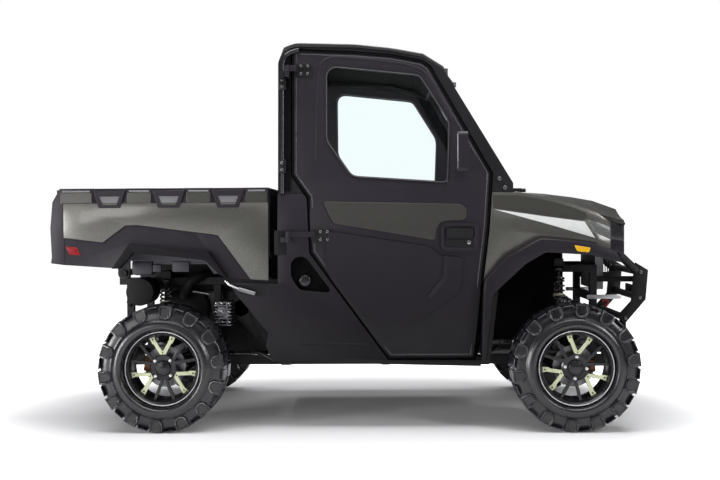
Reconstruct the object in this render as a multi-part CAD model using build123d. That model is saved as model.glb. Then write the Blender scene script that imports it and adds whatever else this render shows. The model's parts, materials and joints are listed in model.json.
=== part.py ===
from build123d import *
import math
import os

# Side by side utility vehicle with a hard cab, a tilting cargo bed and four
# independently sprung wheels.  Millimetres.  +X forward, +Y left, +Z up, the
# ground at Z = 0 and the origin under the middle of the vehicle's length.
# The right side (-Y) is drawn and the left side is its mirror image.

# ---------------------------------------------------------------- driving dimensions
WHEELBASE = 2140
REAR_OVERHANG = 580          # rear axle to the rear end of the cargo bed
FRONT_OVERHANG = 470         # front axle to the front of the bumper

TYRE_RADIUS = 330
FRONT_TYRE_WIDTH = 229
REAR_TYRE_WIDTH = 279
WHEEL_FACE_Y = 800           # outer faces of all four tyres
RIM_SEAT_RADIUS = 178
RIM_LIP_RADIUS = 196
RIM_WIDTH = 180
RIM_WALL = 8

SILL_Z = 378                 # lower edge of the doors
BELT_Z = 1235                # top of the lower body
ROOF_Z = 2031                # highest edge of the roof's side
ROOF_CROWN = 14              # the roof's middle stands this much over its edge
BED_TOP_Z = 1268
BED_FLOOR_Z = 955            # top face of the bed's floor
FLOOR_Z = 340                # underside of the cab floor, top of the lower rails

DOOR_THICKNESS = 45
DOOR_GAP = 12
PANEL = 40                   # thickness of the side panels
PILLAR = 50                  # depth of the cab's pillars, in from the outer skin
GLASS = 6
SHEET = 12                   # floor pan and firewall
SHELL = 20                   # hood, fenders and other moulded panels
TUBE = 40                    # width of the frame's square tubes
RAIL_HEIGHT = 50
RAIL_Y = 260                 # middle of each lower and upper rail
SEAT_GAP = 0.3               # gap at a seat, where two pieces rest on each other
RUNNING_FIT = 0.05           # radial clearance of a pin in its bore

OUTSIDE = 800                # side plates start this wide, then are cut to the body's skin

KINGPIN_Y = 535
HINGE_X = 660                # door hinge axis, forward of the rear axle
HINGE_Y = 738
HINGE_PIN = 7
HINGE_KNUCKLE = 13

AXLE_R = REAR_OVERHANG - (REAR_OVERHANG + WHEELBASE + FRONT_OVERHANG) / 2
AXLE_F = AXLE_R + WHEELBASE
AXLE_Z = TYRE_RADIUS


def rear(dx):
    """X of a station measured forward from the rear axle."""
    return AXLE_R + dx


def front(dx):
    """X of a station measured forward from the front axle."""
    return AXLE_F + dx


# ---------------------------------------------------------------- side skin of the cab
# height of a knee in the cab's side, half of the body's width there
SIDE_SKIN = [
    (FLOOR_Z - 60, 685),
    (SILL_Z + 180, 715),
    (1060, 722),
    (BELT_Z + 55, 700),
    (ROOF_Z - 45, 640),
    (ROOF_Z + 60, 632),
]


def inside(depth):
    """The room inside the side skin, set in by a depth, along the whole vehicle."""
    right = [(-(half - depth), z) for z, half in SIDE_SKIN]
    left = [(-y, z) for y, z in reversed(right)]
    face = Plane.YZ * make_face(Polyline(*right, *left, close=True))
    return extrude(face, amount=WHEELBASE * 2, both=True)


def skin(depth, thickness):
    """A wall that follows the side skin, between two depths."""
    return inside(depth) - inside(depth + thickness)


def side_plate(outline, y_inner, y_outer):
    """An (x, z) outline made solid on the right, between two distances from the middle."""
    face = Plane.XZ.offset(y_inner) * make_face(Polyline(*outline, close=True))
    return extrude(face, amount=y_outer - y_inner)


def across(outline, half_width):
    """An (x, z) outline made solid across the middle."""
    face = Plane.XZ * make_face(Polyline(*outline, close=True))
    return extrude(face, amount=half_width, both=True)


def both_sides(right):
    """The right-hand solids with their mirror images, as one part."""
    return Compound(children=[*right.solids(), *mirror(right, about=Plane.XZ).solids()])


def left_of(right):
    return mirror(right, about=Plane.XZ)


def block(x0, x1, y0, y1, z0, z1):
    """A box from its limits."""
    place = Pos((x0 + x1) / 2, (y0 + y1) / 2, (z0 + z1) / 2)
    return place * Box(abs(x1 - x0), abs(y1 - y0), abs(z1 - z0))


def rod(start, end, radius):
    """A round bar between two points."""
    line = Vector(*end) - Vector(*start)
    return extrude(Plane(origin=start, z_dir=line) * Circle(radius), amount=line.length)


def drum(centre, radius, length, direction=(0, 1, 0)):
    """A cylinder about its middle."""
    face = Plane(origin=centre, z_dir=direction) * Circle(radius)
    return extrude(face, amount=length / 2, both=True)


def strip(points, thickness):
    """The outline of a bent sheet whose lower face runs through the points."""
    upper = []
    for i, (x, z) in enumerate(points):
        before = points[max(i - 1, 0)]
        after = points[min(i + 1, len(points) - 1)]
        a = Vector(x - before[0], z - before[1]) if i else Vector(after[0] - x, after[1] - z)
        b = Vector(after[0] - x, after[1] - z) if i < len(points) - 1 else a
        a, b = a.normalized(), b.normalized()
        normal = Vector(-(a.Y + b.Y), a.X + b.X).normalized()
        reach = thickness / (normal.X * -a.Y + normal.Y * a.X)
        upper.append((x + normal.X * reach, z + normal.Y * reach))
    return points + upper[::-1]


# ---------------------------------------------------------------- doors
# x, z of the right door's outline, clockwise from the rear of its top edge
DOOR = [
    (rear(684), ROOF_Z - 45),
    (rear(684), BELT_Z + 100),
    (rear(767), BELT_Z - 20),
    (rear(780), BELT_Z - 305),
    (rear(1181), SILL_Z),
    (front(-521), SILL_Z),
    (front(-476), SILL_Z + 444),
    (front(-447), BELT_Z - 176),
    (front(-428), BELT_Z + 101),
    (front(-743), ROOF_Z - 136),
    (front(-783), ROOF_Z - 108),
    (front(-934), ROOF_Z - 78),
    (front(-1127), ROOF_Z - 60),
]
# x, z of the window in the door
WINDOW = [
    (rear(859), ROOF_Z - 162),
    (rear(859), BELT_Z + 278),
    (rear(991), BELT_Z + 88),
    (front(-652), BELT_Z + 54),
    (front(-641), ROOF_Z - 423),
    (front(-791), ROOF_Z - 185),
    (front(-817), ROOF_Z - 177),
    (rear(894), ROOF_Z - 131),
]
HINGES = [  # middle height, height, rear and front end of the leaf from the rear axle
    (ROOF_Z - 164, 62, 700, 790),
    (BELT_Z - 225, 56, 792, 882),
]
HINGE_PLATE = 6
DOOR_INNER = 500             # distance from the middle that is well inside the doors


def door_opening():
    """The doorway: the door's outline grown by the gap around it."""
    face = offset(make_face(Polyline(*DOOR, close=True)), DOOR_GAP, kind=Kind.INTERSECTION)
    return extrude(Plane.XZ * face, amount=WHEEL_FACE_Y * 2, both=True)


def skin_half(z):
    """Half of the body's width at a height."""
    for (z0, w0), (z1, w1) in zip(SIDE_SKIN, SIDE_SKIN[1:]):
        if z0 <= z <= z1:
            return w0 + (w1 - w0) * (z - z0) / (z1 - z0)
    return SIDE_SKIN[-1][1]


def door():
    panel = side_plate(DOOR, DOOR_INNER, OUTSIDE) & skin(0, DOOR_THICKNESS)
    panel -= side_plate(WINDOW, DOOR_INNER, OUTSIDE)
    bore = HINGE_PIN + RUNNING_FIT
    for z, height, near, far in HINGES:
        face = min(skin_half(z - height / 2), skin_half(z + height / 2)) - 4
        outer = HINGE_Y + HINGE_PLATE / 2
        knuckle_z = z + height / 4
        leaf = block(rear(near), rear(far), -face, -face - 4 - HINGE_PLATE, z - height / 2,
                     z + height / 2)
        web = block(rear(near), rear(near + HINGE_PLATE), -face, -outer, z, z + height / 2)
        arm = block(rear(HINGE_X), rear(near + HINGE_PLATE), -outer + HINGE_PLATE, -outer,
                    z, z + height / 2)
        knuckle = drum((rear(HINGE_X), -HINGE_Y, knuckle_z), HINGE_KNUCKLE, height / 2, (0, 0, 1))
        panel += leaf + web + arm + knuckle
        panel -= drum((rear(HINGE_X), -HINGE_Y, knuckle_z), bore, height, (0, 0, 1))
    return panel


def door_glass():
    return side_plate(WINDOW, DOOR_INNER, OUTSIDE) & skin(DOOR_THICKNESS / 2, GLASS)


MIRROR_X = -584              # middle of the mirror's housing, from the front axle
MIRROR_Z = BELT_Z + 100      # lower edge of the housing
MIRROR_SIZE = (50, 140, 205)
MIRROR_INNER = 755           # inner side of the housing, from the middle
MIRROR_ARM_Z = 26            # arm's height over the housing's lower edge
MIRROR_ARM_RADIUS = 9


def mirror_unit():
    """The right door mirror: a rounded housing on an arm that stands on the door's skin."""
    depth, width, height = MIRROR_SIZE
    place = Pos(front(MIRROR_X), -MIRROR_INNER - width / 2, MIRROR_Z + height / 2)
    housing = Box(depth, width, height)
    housing = fillet(housing.edges().filter_by(Axis.X), depth / 2)
    x, z = front(MIRROR_X) - depth / 2 + MIRROR_ARM_RADIUS, MIRROR_Z + MIRROR_ARM_Z
    arm = rod((x, -DOOR_INNER, z), (x, -MIRROR_INNER - width / 4, z), MIRROR_ARM_RADIUS)
    return place * housing + (arm - inside(0))


# ---------------------------------------------------------------- cab
# x, z of the greenhouse frame's outer line, from the foot of the rear pillar
GREENHOUSE = [
    (rear(605), BELT_Z),
    (rear(605), ROOF_Z - 106),
    (rear(635), ROOF_Z - 43),
    (rear(698), ROOF_Z - 21),
    (front(-1127), ROOF_Z - 29),
    (front(-934), ROOF_Z - 50),
    (front(-774), ROOF_Z - 83),
    (front(-668), ROOF_Z - 151),
    (front(-645), ROOF_Z - 186),
    (front(-312), BELT_Z + 50),
    (front(-312), BELT_Z),
]
ROOF_RAIL = [(rear(662), ROOF_Z - 62), (front(-934), ROOF_Z - 92), (front(-700), ROOF_Z - 165)]
ROOF_RAIL_Y = 570
POST_Y = 625                 # middle of the posts under the pillars
REAR_POST = (610, 655)       # rear and front of the rear posts, from the rear axle


def hinge_half(z, height):
    """The fixed half of a door hinge: pin, lower knuckle and the plate that carries it."""
    x = rear(HINGE_X)
    lower = height / 2 - SEAT_GAP
    half = drum((x, -HINGE_Y, z), HINGE_PIN, height, (0, 0, 1))
    half += drum((x, -HINGE_Y, z - height / 2 + lower / 2), HINGE_KNUCKLE, lower, (0, 0, 1))
    face = skin_half(z + height / 2) - 8
    return half + block(x - 40, x + 6, -face, -HINGE_Y, z - height / 2, z - SEAT_GAP)


def cab_frame():
    """Side frames around the doorways, posts down to the floor and cross tubes."""
    side = side_plate(GREENHOUSE, DOOR_INNER, OUTSIDE) & skin(6, PILLAR - 6)
    side -= door_opening()
    half = TUBE / 2
    rear_post = block(rear(REAR_POST[0]), rear(REAR_POST[1]), -POST_Y - half, -POST_Y + half,
                      FLOOR_Z, BELT_Z + 20)
    front_post = side_plate([(front(-480), FLOOR_Z), (front(-375), BELT_Z + 20),
                             (front(-325), BELT_Z + 20), (front(-430), FLOOR_Z)],
                            POST_Y - half, POST_Y + half)
    right = side + rear_post + front_post
    for x in (rear(632), front(-350)):
        right += block(x - 22, x + 22, -POST_Y - 65, -POST_Y + half, BELT_Z, BELT_Z + 20)
    right += hinge_half(*HINGES[0][:2])
    frame = right + left_of(right)
    for x, z in (ROOF_RAIL[0], ROOF_RAIL[-1]):
        frame += block(x - 15, x + 15, -600, 600, z - 15, z + 15)
    for a, b in zip(ROOF_RAIL, ROOF_RAIL[1:]):
        for y in (-ROOF_RAIL_Y, ROOF_RAIL_Y):
            frame += rod((a[0], y, a[1]), (b[0], y, b[1]), 15)
    return frame


# station, roof edge height, roof underside height, half width
ROOF = [
    (rear(605), ROOF_Z - 88, ROOF_Z - 106, 612),
    (rear(635), ROOF_Z - 20, ROOF_Z - 43, 634),
    (rear(698), ROOF_Z, ROOF_Z - 21, 640),
    (front(-1127), ROOF_Z - 10, ROOF_Z - 29, 640),
    (front(-934), ROOF_Z - 32, ROOF_Z - 50, 640),
    (front(-774), ROOF_Z - 62, ROOF_Z - 83, 640),
    (front(-668), ROOF_Z - 128, ROOF_Z - 151, 632),
    (front(-645), ROOF_Z - 171, ROOF_Z - 186, 624),
]


def section(x, points):
    """A closed (y, z) polygon at a station, as a face for a loft."""
    return Plane(origin=(x, 0, 0), x_dir=(0, 1, 0), z_dir=(1, 0, 0)) * make_face(
        Polyline(*points, close=True))


def roof():
    faces = []
    for x, edge, under, half in ROOF:
        crown = edge + ROOF_CROWN
        faces.append(section(x, [(-half, under), (-half, edge - 6), (-half + 14, edge),
                                 (-half + 160, crown), (half - 160, crown),
                                 (half - 14, edge), (half, edge - 6), (half, under)]))
    return loft(faces, ruled=True)


def windshield():
    """The laminated pane between the front pillars, and the rear window."""
    slope = (front(-312) - front(-645)) / (BELT_Z + 50 - (ROOF_Z - 186))
    top, bottom = ROOF_Z - 176, BELT_Z + 58

    def at(z, back):
        return (front(-645) + slope * (z - (ROOF_Z - 186)) - back, z)

    pane = across([at(bottom, 20), at(bottom, 28), at(top, 28), at(top, 20)], 700)
    return pane & inside(PILLAR)


REAR_WALL_X = 610
FLOOR_HALF = POST_Y - TUBE / 2
REAR_WALL = 34
REAR_WINDOW = (BELT_Z + 105, ROOF_Z - 165, 520)   # sill, head, half width


def rear_wall():
    x0, x1 = rear(REAR_WALL_X), rear(REAR_WALL_X + REAR_WALL)
    wall = block(x0, x1, -700, 700, BELT_Z + 20, ROOF_Z - 106) & inside(PILLAR)
    wall += block(x0, x1, -FLOOR_HALF, FLOOR_HALF, FLOOR_Z + SHEET, BELT_Z + 20)
    sill, head, half = REAR_WINDOW
    return wall - block(rear(REAR_WALL_X - 5), rear(REAR_WALL_X + REAR_WALL + 5),
                        -half, half, sill, head)


def rear_window():
    sill, head, half = REAR_WINDOW
    middle = rear(REAR_WALL_X + REAR_WALL / 2)
    return block(middle - GLASS / 2, middle + GLASS / 2, -half, half, sill, head)


FIREWALL_FOOT = (front(-405), FLOOR_Z + 180)
FIREWALL_TOP = (front(-345), BELT_Z + 40)
COWL_GAP = 15                # between the cowl and the front posts


def firewall_back(z):
    """X of the firewall's cabin face at a height."""
    (x0, z0), (x1, z1) = FIREWALL_FOOT, FIREWALL_TOP
    return x0 + (x1 - x0) * (z - z0) / (z1 - z0) - SHEET * 1.01


def firewall_front(z):
    return firewall_back(z) + SHEET * 1.01


def cowl():
    """The strip between the windshield's foot and the hood."""
    outline = [(firewall_front(BELT_Z + 38), BELT_Z + 38), (front(-306), BELT_Z + 8),
               (front(-306), BELT_Z - 12), (firewall_front(BELT_Z + 18), BELT_Z + 18)]
    return across(outline, FLOOR_HALF - COWL_GAP)


def floor_pan():
    """Floor, toe board and firewall, bent from one sheet."""
    line = [(rear(REAR_WALL_X), FLOOR_Z), (front(-520), FLOOR_Z), FIREWALL_FOOT, FIREWALL_TOP]
    return across(strip(line, SHEET), FLOOR_HALF)


# x, z of the rear quarter panel with the sill; the doorway is cut from it
SIDE_PANEL = [
    (rear(603), BELT_Z - 2),
    (rear(800), BELT_Z - 2),
    (front(-600), SILL_Z + 220),
    (front(-530), SILL_Z - DOOR_GAP),
    (front(-482), SILL_Z - DOOR_GAP),
    (front(-482), SILL_Z - 47),
    (rear(1184), SILL_Z - 34),
    (rear(577), SILL_Z - 21),
    (rear(554), SILL_Z + 18),
    (rear(536), SILL_Z + 61),
    (rear(551), SILL_Z + 132),
    (rear(381), SILL_Z + 340),
    (rear(345), SILL_Z + 398),
    (rear(603), SILL_Z + 390),
]


def side_panels():
    panel = side_plate(SIDE_PANEL, DOOR_INNER, OUTSIDE) & skin(0, PANEL)
    panel -= door_opening()
    return both_sides(panel + hinge_half(*HINGES[1][:2]))


# ---------------------------------------------------------------- interior
SEAT_Y = 290                 # middle of each seat
SEAT_HALF = 240
SEAT_BASE_Z = 700
CUSHION = 125


def seat_base():
    outline = [(rear(REAR_WALL_X + REAR_WALL), FLOOR_Z + SHEET), (rear(1140), FLOOR_Z + SHEET),
               (rear(1110), SEAT_BASE_Z), (rear(REAR_WALL_X + REAR_WALL), SEAT_BASE_Z)]
    return across(outline, FLOOR_HALF - 30)


def seat_cushions():
    bottom = SEAT_BASE_Z + SEAT_GAP
    outline = [(rear(690), bottom), (rear(1150), bottom), (rear(1160), bottom + CUSHION * 0.7),
               (rear(1130), bottom + CUSHION), (rear(690), bottom + CUSHION * 0.85)]
    return both_sides(side_plate(outline, SEAT_Y - SEAT_HALF, SEAT_Y + SEAT_HALF))


def seat_backs():
    bottom = SEAT_BASE_Z + CUSHION + 15
    wall = rear(REAR_WALL_X + REAR_WALL) + SEAT_GAP
    outline = [(wall + 30, bottom), (wall + 150, bottom), (wall + 100, bottom + 570),
               (wall + 70, bottom + 600), (wall, bottom + 590)]
    return both_sides(side_plate(outline, SEAT_Y - SEAT_HALF, SEAT_Y + SEAT_HALF))


STEER_X = -920               # middle of the steering wheel, from the front axle
STEER_Y = 340
STEER_Z = 1140
STEER_RADIUS = 170
STEER_GRIP = 14
STEER_TILT = 25              # degrees the column drops toward the front
COLUMN_RADIUS = 22


def column_point(distance):
    """A point on the steering column's axis, this far ahead of the wheel's middle."""
    tilt = math.radians(STEER_TILT)
    return (front(STEER_X) + distance * math.cos(tilt), STEER_Y,
            STEER_Z - distance * math.sin(tilt))


def dashboard():
    low, high = BELT_Z - 290, BELT_Z + 34
    outline = [(firewall_back(low), low), (firewall_back(high), high), (front(-440), BELT_Z + 27),
               (front(-600), BELT_Z - 15), (front(-650), BELT_Z - 60), (front(-640), BELT_Z - 170),
               (front(-560), low)]
    dash = across(outline, 600) & inside(PILLAR + 6)
    return dash + rod(column_point(70), column_point(360), COLUMN_RADIUS)


def steering_wheel():
    tilt = math.radians(STEER_TILT)
    axis = (math.cos(tilt), 0, -math.sin(tilt))
    plane = Plane(origin=column_point(0), x_dir=(0, 1, 0), z_dir=axis)
    wheel = plane * Torus(STEER_RADIUS, STEER_GRIP)
    wheel += rod(column_point(-8), column_point(70 - SEAT_GAP), COLUMN_RADIUS + 4)
    for turn in (0, 180, 270):
        spoke = Rot(0, 0, turn) * Pos(STEER_RADIUS / 2, 0, 0) * Box(STEER_RADIUS, 30, 10)
        wheel += plane * spoke
    return wheel


# ---------------------------------------------------------------- front body
# station, middle height of the hood's top, height at its side edges
HOOD = [
    (front(-300), BELT_Z + 10, BELT_Z + 6),
    (front(-117), BELT_Z - 3, BELT_Z - 24),
    (front(30), BELT_Z - 22, BELT_Z - 66),
    (front(140), BELT_Z - 42, BELT_Z - 110),
    (front(266), BELT_Z - 88, BELT_Z - 145),
    (front(292), BELT_Z - 145, BELT_Z - 150),
]
HOOD_AXIS = (front(304), BELT_Z - 162)
HOOD_KNUCKLE = 9
HOOD_PIN = 4
HOOD_HINGE_Y = 250           # middle of each hood hinge
FASCIA_TOP = BELT_Z - 176
HOOD_HALF = 590
HOOD_RIDGE = 460             # half width of the raised middle of the hood
HOOD_GAP = 6


def hood():
    faces = []
    for x, ridge, edge in HOOD:
        top = [(-HOOD_HALF, edge), (-HOOD_RIDGE, ridge), (HOOD_RIDGE, ridge), (HOOD_HALF, edge)]
        under = [(y, z - SHELL) for y, z in reversed(top)]
        faces.append(section(x, top + under))
    lid = loft(faces, ruled=True) & nose_room(0)
    x, z = HOOD_AXIS
    for y in (-HOOD_HINGE_Y, HOOD_HINGE_Y):
        lid += drum((x, y, z), HOOD_KNUCKLE, 40)
        lid += block(x - 12, x - 2, y - 20, y + 20, z, z + HOOD_KNUCKLE)
        lid -= drum((x, y, z), HOOD_PIN + RUNNING_FIT, 60)
    return lid


# x and half width of the nose, seen from above
NOSE_TIP = 315
NOSE_PLAN = [(front(-600), 722), (front(110), 722), (front(190), 700), (front(250), 650),
             (front(290), 560), (front(NOSE_TIP), 420)]


def nose_room(depth):
    """The room inside the front body's plan outline, set in by a depth."""
    half = [(x, -(y - depth)) for x, y in NOSE_PLAN[:-1]]
    half.append((front(NOSE_TIP) - depth, -(NOSE_PLAN[-1][1] - depth)))
    outline = half + [(x, -y) for x, y in reversed(half)]
    return extrude(Plane.XY * make_face(Polyline(*outline, close=True)), amount=ROOF_Z)


# x, z of the painted fender, top line first, from the door forward
FENDER_CREST = [(front(-299), BELT_Z + 5), (front(-117), BELT_Z - 27), (front(101), BELT_Z - 98),
                (front(200), BELT_Z - 161), (front(330), BELT_Z - 200)]
FENDER_TOP = [(front(-470), BELT_Z), (front(-312), BELT_Z), *FENDER_CREST]
FLARE_TOP = [(front(330), BELT_Z - 345), (front(207), BELT_Z - 308), (front(110), BELT_Z - 271),
             (front(5), BELT_Z - 253), (front(-180), BELT_Z - 235), (front(-357), BELT_Z - 331),
             (front(-472), BELT_Z - 454), (front(-486), SILL_Z - 6)]
FLARE_UNDER = [(front(-460), SILL_Z - 6), (front(-457), SILL_Z + 49), (front(-425), BELT_Z - 525),
               (front(-253), BELT_Z - 367), (front(-155), BELT_Z - 310), (front(73), BELT_Z - 324),
               (front(240), BELT_Z - 365), (front(262), BELT_Z - 368)]
# x, z of the headlamp, wrapped round the nose
LAMP = [(front(78), BELT_Z - 144), (front(113), BELT_Z - 153), (front(181), BELT_Z - 179),
        (front(330), BELT_Z - 190), (front(330), BELT_Z - 262), (front(187), BELT_Z - 245),
        (front(105), BELT_Z - 208)]
LAMP_INNER = 400             # inner end of each headlamp, from the middle
FASCIA_X = 240               # rear of the fascia, from the front axle
FASCIA_HALF = HOOD_HALF + 20


def front_shell(outline, y_inner, thickness):
    """A panel of the front body from its side outline, following skin and nose."""
    plate = side_plate(outline, y_inner, OUTSIDE)
    return (plate & inside(0) & nose_room(0)) - (inside(thickness) & nose_room(thickness))


def front_fenders():
    side = front_shell(FENDER_TOP + FLARE_TOP[:-1], HOOD_HALF + HOOD_GAP, SHELL)
    under = [(x, z - SHELL) for x, z in FENDER_CREST]
    flange = side_plate(FENDER_CREST + under[::-1], HOOD_HALF + HOOD_GAP, OUTSIDE)
    flange = flange & inside(0) & nose_room(0)
    panel = side + flange - door_opening()
    panel -= side_plate(LAMP, LAMP_INNER, OUTSIDE)
    panel -= block(front(FASCIA_X), front(400), -FASCIA_HALF, 0, 0, ROOF_Z)
    return both_sides(panel)


def front_flares():
    lip = side_plate(FLARE_TOP[1:] + FLARE_UNDER[:-1], 660, 772)
    return both_sides(lip - door_opening())


def headlamps():
    lamp = front_shell(LAMP, LAMP_INNER, 34)
    return both_sides(lamp)


def fascia():
    """The black nose between the headlamps, with its air opening."""
    outline = [(front(FASCIA_X), FASCIA_TOP), (front(330), FASCIA_TOP),
               (front(330), BELT_Z - 345), (front(FASCIA_X), BELT_Z - 345)]
    shell = across(outline, FASCIA_HALF)
    shell = (shell & nose_room(0)) - nose_room(SHELL)
    for sign in (-1, 1):
        lamp = side_plate(LAMP, LAMP_INNER, OUTSIDE)
        shell -= lamp if sign < 0 else left_of(lamp)
    for row in range(4):
        z = BELT_Z - 320 + row * 32
        shell -= block(front(200), front(400), -340, 340, z, z + 20)
    x, top = HOOD_AXIS
    for y in (-HOOD_HINGE_Y, HOOD_HINGE_Y):
        shell += drum((x, y, top), HOOD_PIN, 60)
        for end in (-26, 26):
            shell += block(x - 4, x + 5, y + end - 5, y + end + 5, FASCIA_TOP - 5, top)
            shell += drum((x, y + end, top), HOOD_PIN + 2, 10)
    return shell


RADIATOR_X = 200


def radiator():
    return block(front(RADIATOR_X), front(RADIATOR_X + 45), -225, 225, 700, 1020)


# x, z of the bumper's side plates
BUMPER_PLATE = [(front(400), 855), (front(470), 812), (front(456), 650), (front(345), 519),
                (front(300), 559), (front(376), 642), (front(392), 813)]
BUMPER_Y = 330
FAIRLEAD_PITCH = 152.4       # bolt spacing of a small winch's fairlead
FAIRLEAD_HOLE = 5.5


def bumper():
    plate = side_plate(BUMPER_PLATE, BUMPER_Y - 5, BUMPER_Y + 5)
    plate += block(front(RADIATOR_X), front(400), -RAIL_Y - 15, -RAIL_Y + 15, 745, 775)
    plate += block(front(390), front(420), -BUMPER_Y, -RAIL_Y + 15, 745, 775)
    plate += block(front(330), front(350), -BUMPER_Y, -RAIL_Y + 15, 300, 545)
    guard = plate + left_of(plate)
    for x, z in [(front(430), 800), (front(425), 660), (front(345), 548)]:
        guard += drum((x, 0, z), 19, BUMPER_Y * 2)
    guard += block(front(440), front(448), -105, 105, 645, 715)
    for y in (-FAIRLEAD_PITCH / 2, FAIRLEAD_PITCH / 2):
        guard -= drum((front(444), y, 698), FAIRLEAD_HOLE, 30, (1, 0, 0))
    return guard


# ---------------------------------------------------------------- frame and running gear
UPPER_RAIL_Z = 740           # underside of the rear upper rails
MID_RAIL_Z = 450             # underside of the upper arms' rails
BED_PIVOT_X = -300           # from the rear axle
BED_PIVOT_Z = 805
BED_PIVOT_RADIUS = 19
RECEIVER = 50.8              # room inside the hitch receiver
RECEIVER_WALL = 6.35
HITCH_PIN = 8.1              # radius of the hitch pin's hole
TOWER = 840                  # underside of the front shock cross member


POSTS = (rear(-270), rear(220), rear(580), front(-180), front(RADIATOR_X - TUBE / 2))
OUTRIGGERS = (rear(632), rear(1160), front(-455))
OUTRIGGER_WIDTH = 44
RAIL_LOW = FLOOR_Z - RAIL_HEIGHT
RAIL_INNER = RAIL_Y - TUBE / 2
RAIL_OUTER = RAIL_Y + TUBE / 2
# x, underside, height of each cross member between the rails
CROSS_MEMBERS = [
    (rear(-310), RAIL_LOW, TUBE),
    (rear(175), RAIL_LOW, 20),
    (front(-180), RAIL_LOW, 20),
    (front(175), RAIL_LOW, TUBE),
    (front(180), 640, TUBE),
    (front(180), TOWER - TUBE, TUBE),
]


def rail(x0, x1, z0, z1):
    """A length of tube along the right-hand rails."""
    return block(x0, x1, -RAIL_OUTER, -RAIL_INNER, z0, z1)


def frame_rails():
    """Lower, middle and upper rails, each between the posts' faces."""
    half = TUBE / 2
    rails = [rail(rear(-330), front(330), RAIL_LOW, FLOOR_Z),
             rail(rear(-330), rear(600), UPPER_RAIL_Z, UPPER_RAIL_Z + TUBE),
             rail(front(-200), front(RADIATOR_X), TOWER - TUBE, TOWER)]
    for a, b in (POSTS[0:2], POSTS[3:5]):
        rails.append(rail(a + half, b - half, MID_RAIL_Z, MID_RAIL_Z + TUBE))
    return both_sides(Compound(children=rails))


def frame_posts():
    """Posts on the lower rails, and outriggers from the rails to the cab's posts."""
    half = TUBE / 2
    posts = []
    for x in POSTS:
        top = TOWER - TUBE if x > 0 else UPPER_RAIL_Z
        posts.append(rail(x - half, x + half, FLOOR_Z, top))
    for x in OUTRIGGERS:
        posts.append(block(x - OUTRIGGER_WIDTH / 2, x + OUTRIGGER_WIDTH / 2, -POST_Y - half,
                           -RAIL_OUTER, RAIL_LOW, FLOOR_Z))
    return both_sides(Compound(children=posts))


def frame_cross_members():
    """Cross members, shock beams, the bed's pivot tube and the steering rack's housing."""
    half = TUBE / 2
    members = [block(x - half, x + half, -RAIL_INNER, RAIL_INNER, z, z + height)
               for x, z, height in CROSS_MEMBERS]
    top = UPPER_RAIL_Z + TUBE
    members.append(block(rear(-75), rear(-25), -370, 370, top, top + 40))
    members.append(block(front(-55), front(-5), -400, 400, TOWER, TOWER + 40))
    pivot = drum((rear(BED_PIVOT_X), 0, BED_PIVOT_Z), BED_PIVOT_RADIUS, 2 * (RAIL_Y + 60))
    foot = rail(rear(BED_PIVOT_X - 25), rear(BED_PIVOT_X + 25), top, BED_PIVOT_Z)
    members.append(pivot + foot + left_of(foot))
    housing = drum((front(RACK_X), 0, RACK_Z), RACK_HOUSING, 2 * RAIL_OUTER)
    foot = rail(front(RACK_X - 12), front(RACK_X + 12), FLOOR_Z, RACK_Z)
    housing += foot + left_of(foot)
    housing -= drum((front(RACK_X), 0, RACK_Z), RACK_ROD + RUNNING_FIT, 2 * RAIL_OUTER + 20)
    members.append(housing)
    return Compound(children=[solid for member in members for solid in member.solids()])


def hitch_receiver():
    """The square socket at the rear, with its pin hole."""
    x0, x1, z = rear(-410), rear(-310) - TUBE / 2, RAIL_LOW + TUBE / 2
    out, room = RECEIVER / 2 + RECEIVER_WALL, RECEIVER / 2
    socket = block(x0, x1, -out, out, z - out, z + out)
    socket -= block(x0 - 5, x1 + 5, -room, room, z - room, z + room)
    return socket - drum((rear(-380), 0, z), HITCH_PIN, 4 * out)


ENGINE = (140, 540)          # rear and front of the block, from the rear axle


def engine():
    """The engine as one plain block, with the finned drive cover on its right."""
    x0, x1 = rear(ENGINE[0]), rear(ENGINE[1])
    unit = block(x0, x1, -205, 205, FLOOR_Z + 5, 700)
    unit += drum((rear(340), -340, 600), 45, 270)
    for i in range(6):
        unit += drum((rear(340), -330 - i * 24, 600), 58, 10)
    for y in (-1, 1):
        for x in (rear(280), rear(480)):
            unit += block(x - 20, x + 20, y * RAIL_Y, y * 200, FLOOR_Z, FLOOR_Z + 16)
    return unit


def muffler():
    centre = (rear(-170), -395, 712)
    body = drum(centre, 74, 200)
    body += rod((rear(-170), -400, 712), (rear(-250), -400, 640), 20)
    return body + block(rear(-190), rear(-150), -300, -RAIL_Y - TUBE / 2, UPPER_RAIL_Z + 8,
                        UPPER_RAIL_Z + 30)


SHAFT_Z = 375


def drivetrain():
    """Gear cases at both axles and the shaft between them."""
    result = []
    for x in (AXLE_R, AXLE_F):
        case = block(x - 95, x + 95, -115, 115, SHAFT_Z - 62, SHAFT_Z + 58)
        case += block(x - 35, x + 35, -RAIL_Y + TUBE / 2, RAIL_Y - TUBE / 2, FLOOR_Z - 30, FLOOR_Z)
        result.append(case)
    return result


def propshaft():
    z = FLOOR_Z - 15
    return rod((AXLE_F - 95, 0, z), (rear(95), 0, z), 13)


ARM_SPREAD = 120
ARM_LOWER_Z = 240            # ball joints' heights
ARM_UPPER_Z = 425
ARM_ROD = 13
EYE = 19
BALL_HEIGHT = 52
SHOCK_SEAT = (445, 472)      # distance from the middle and height of the shock's lower seat


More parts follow.
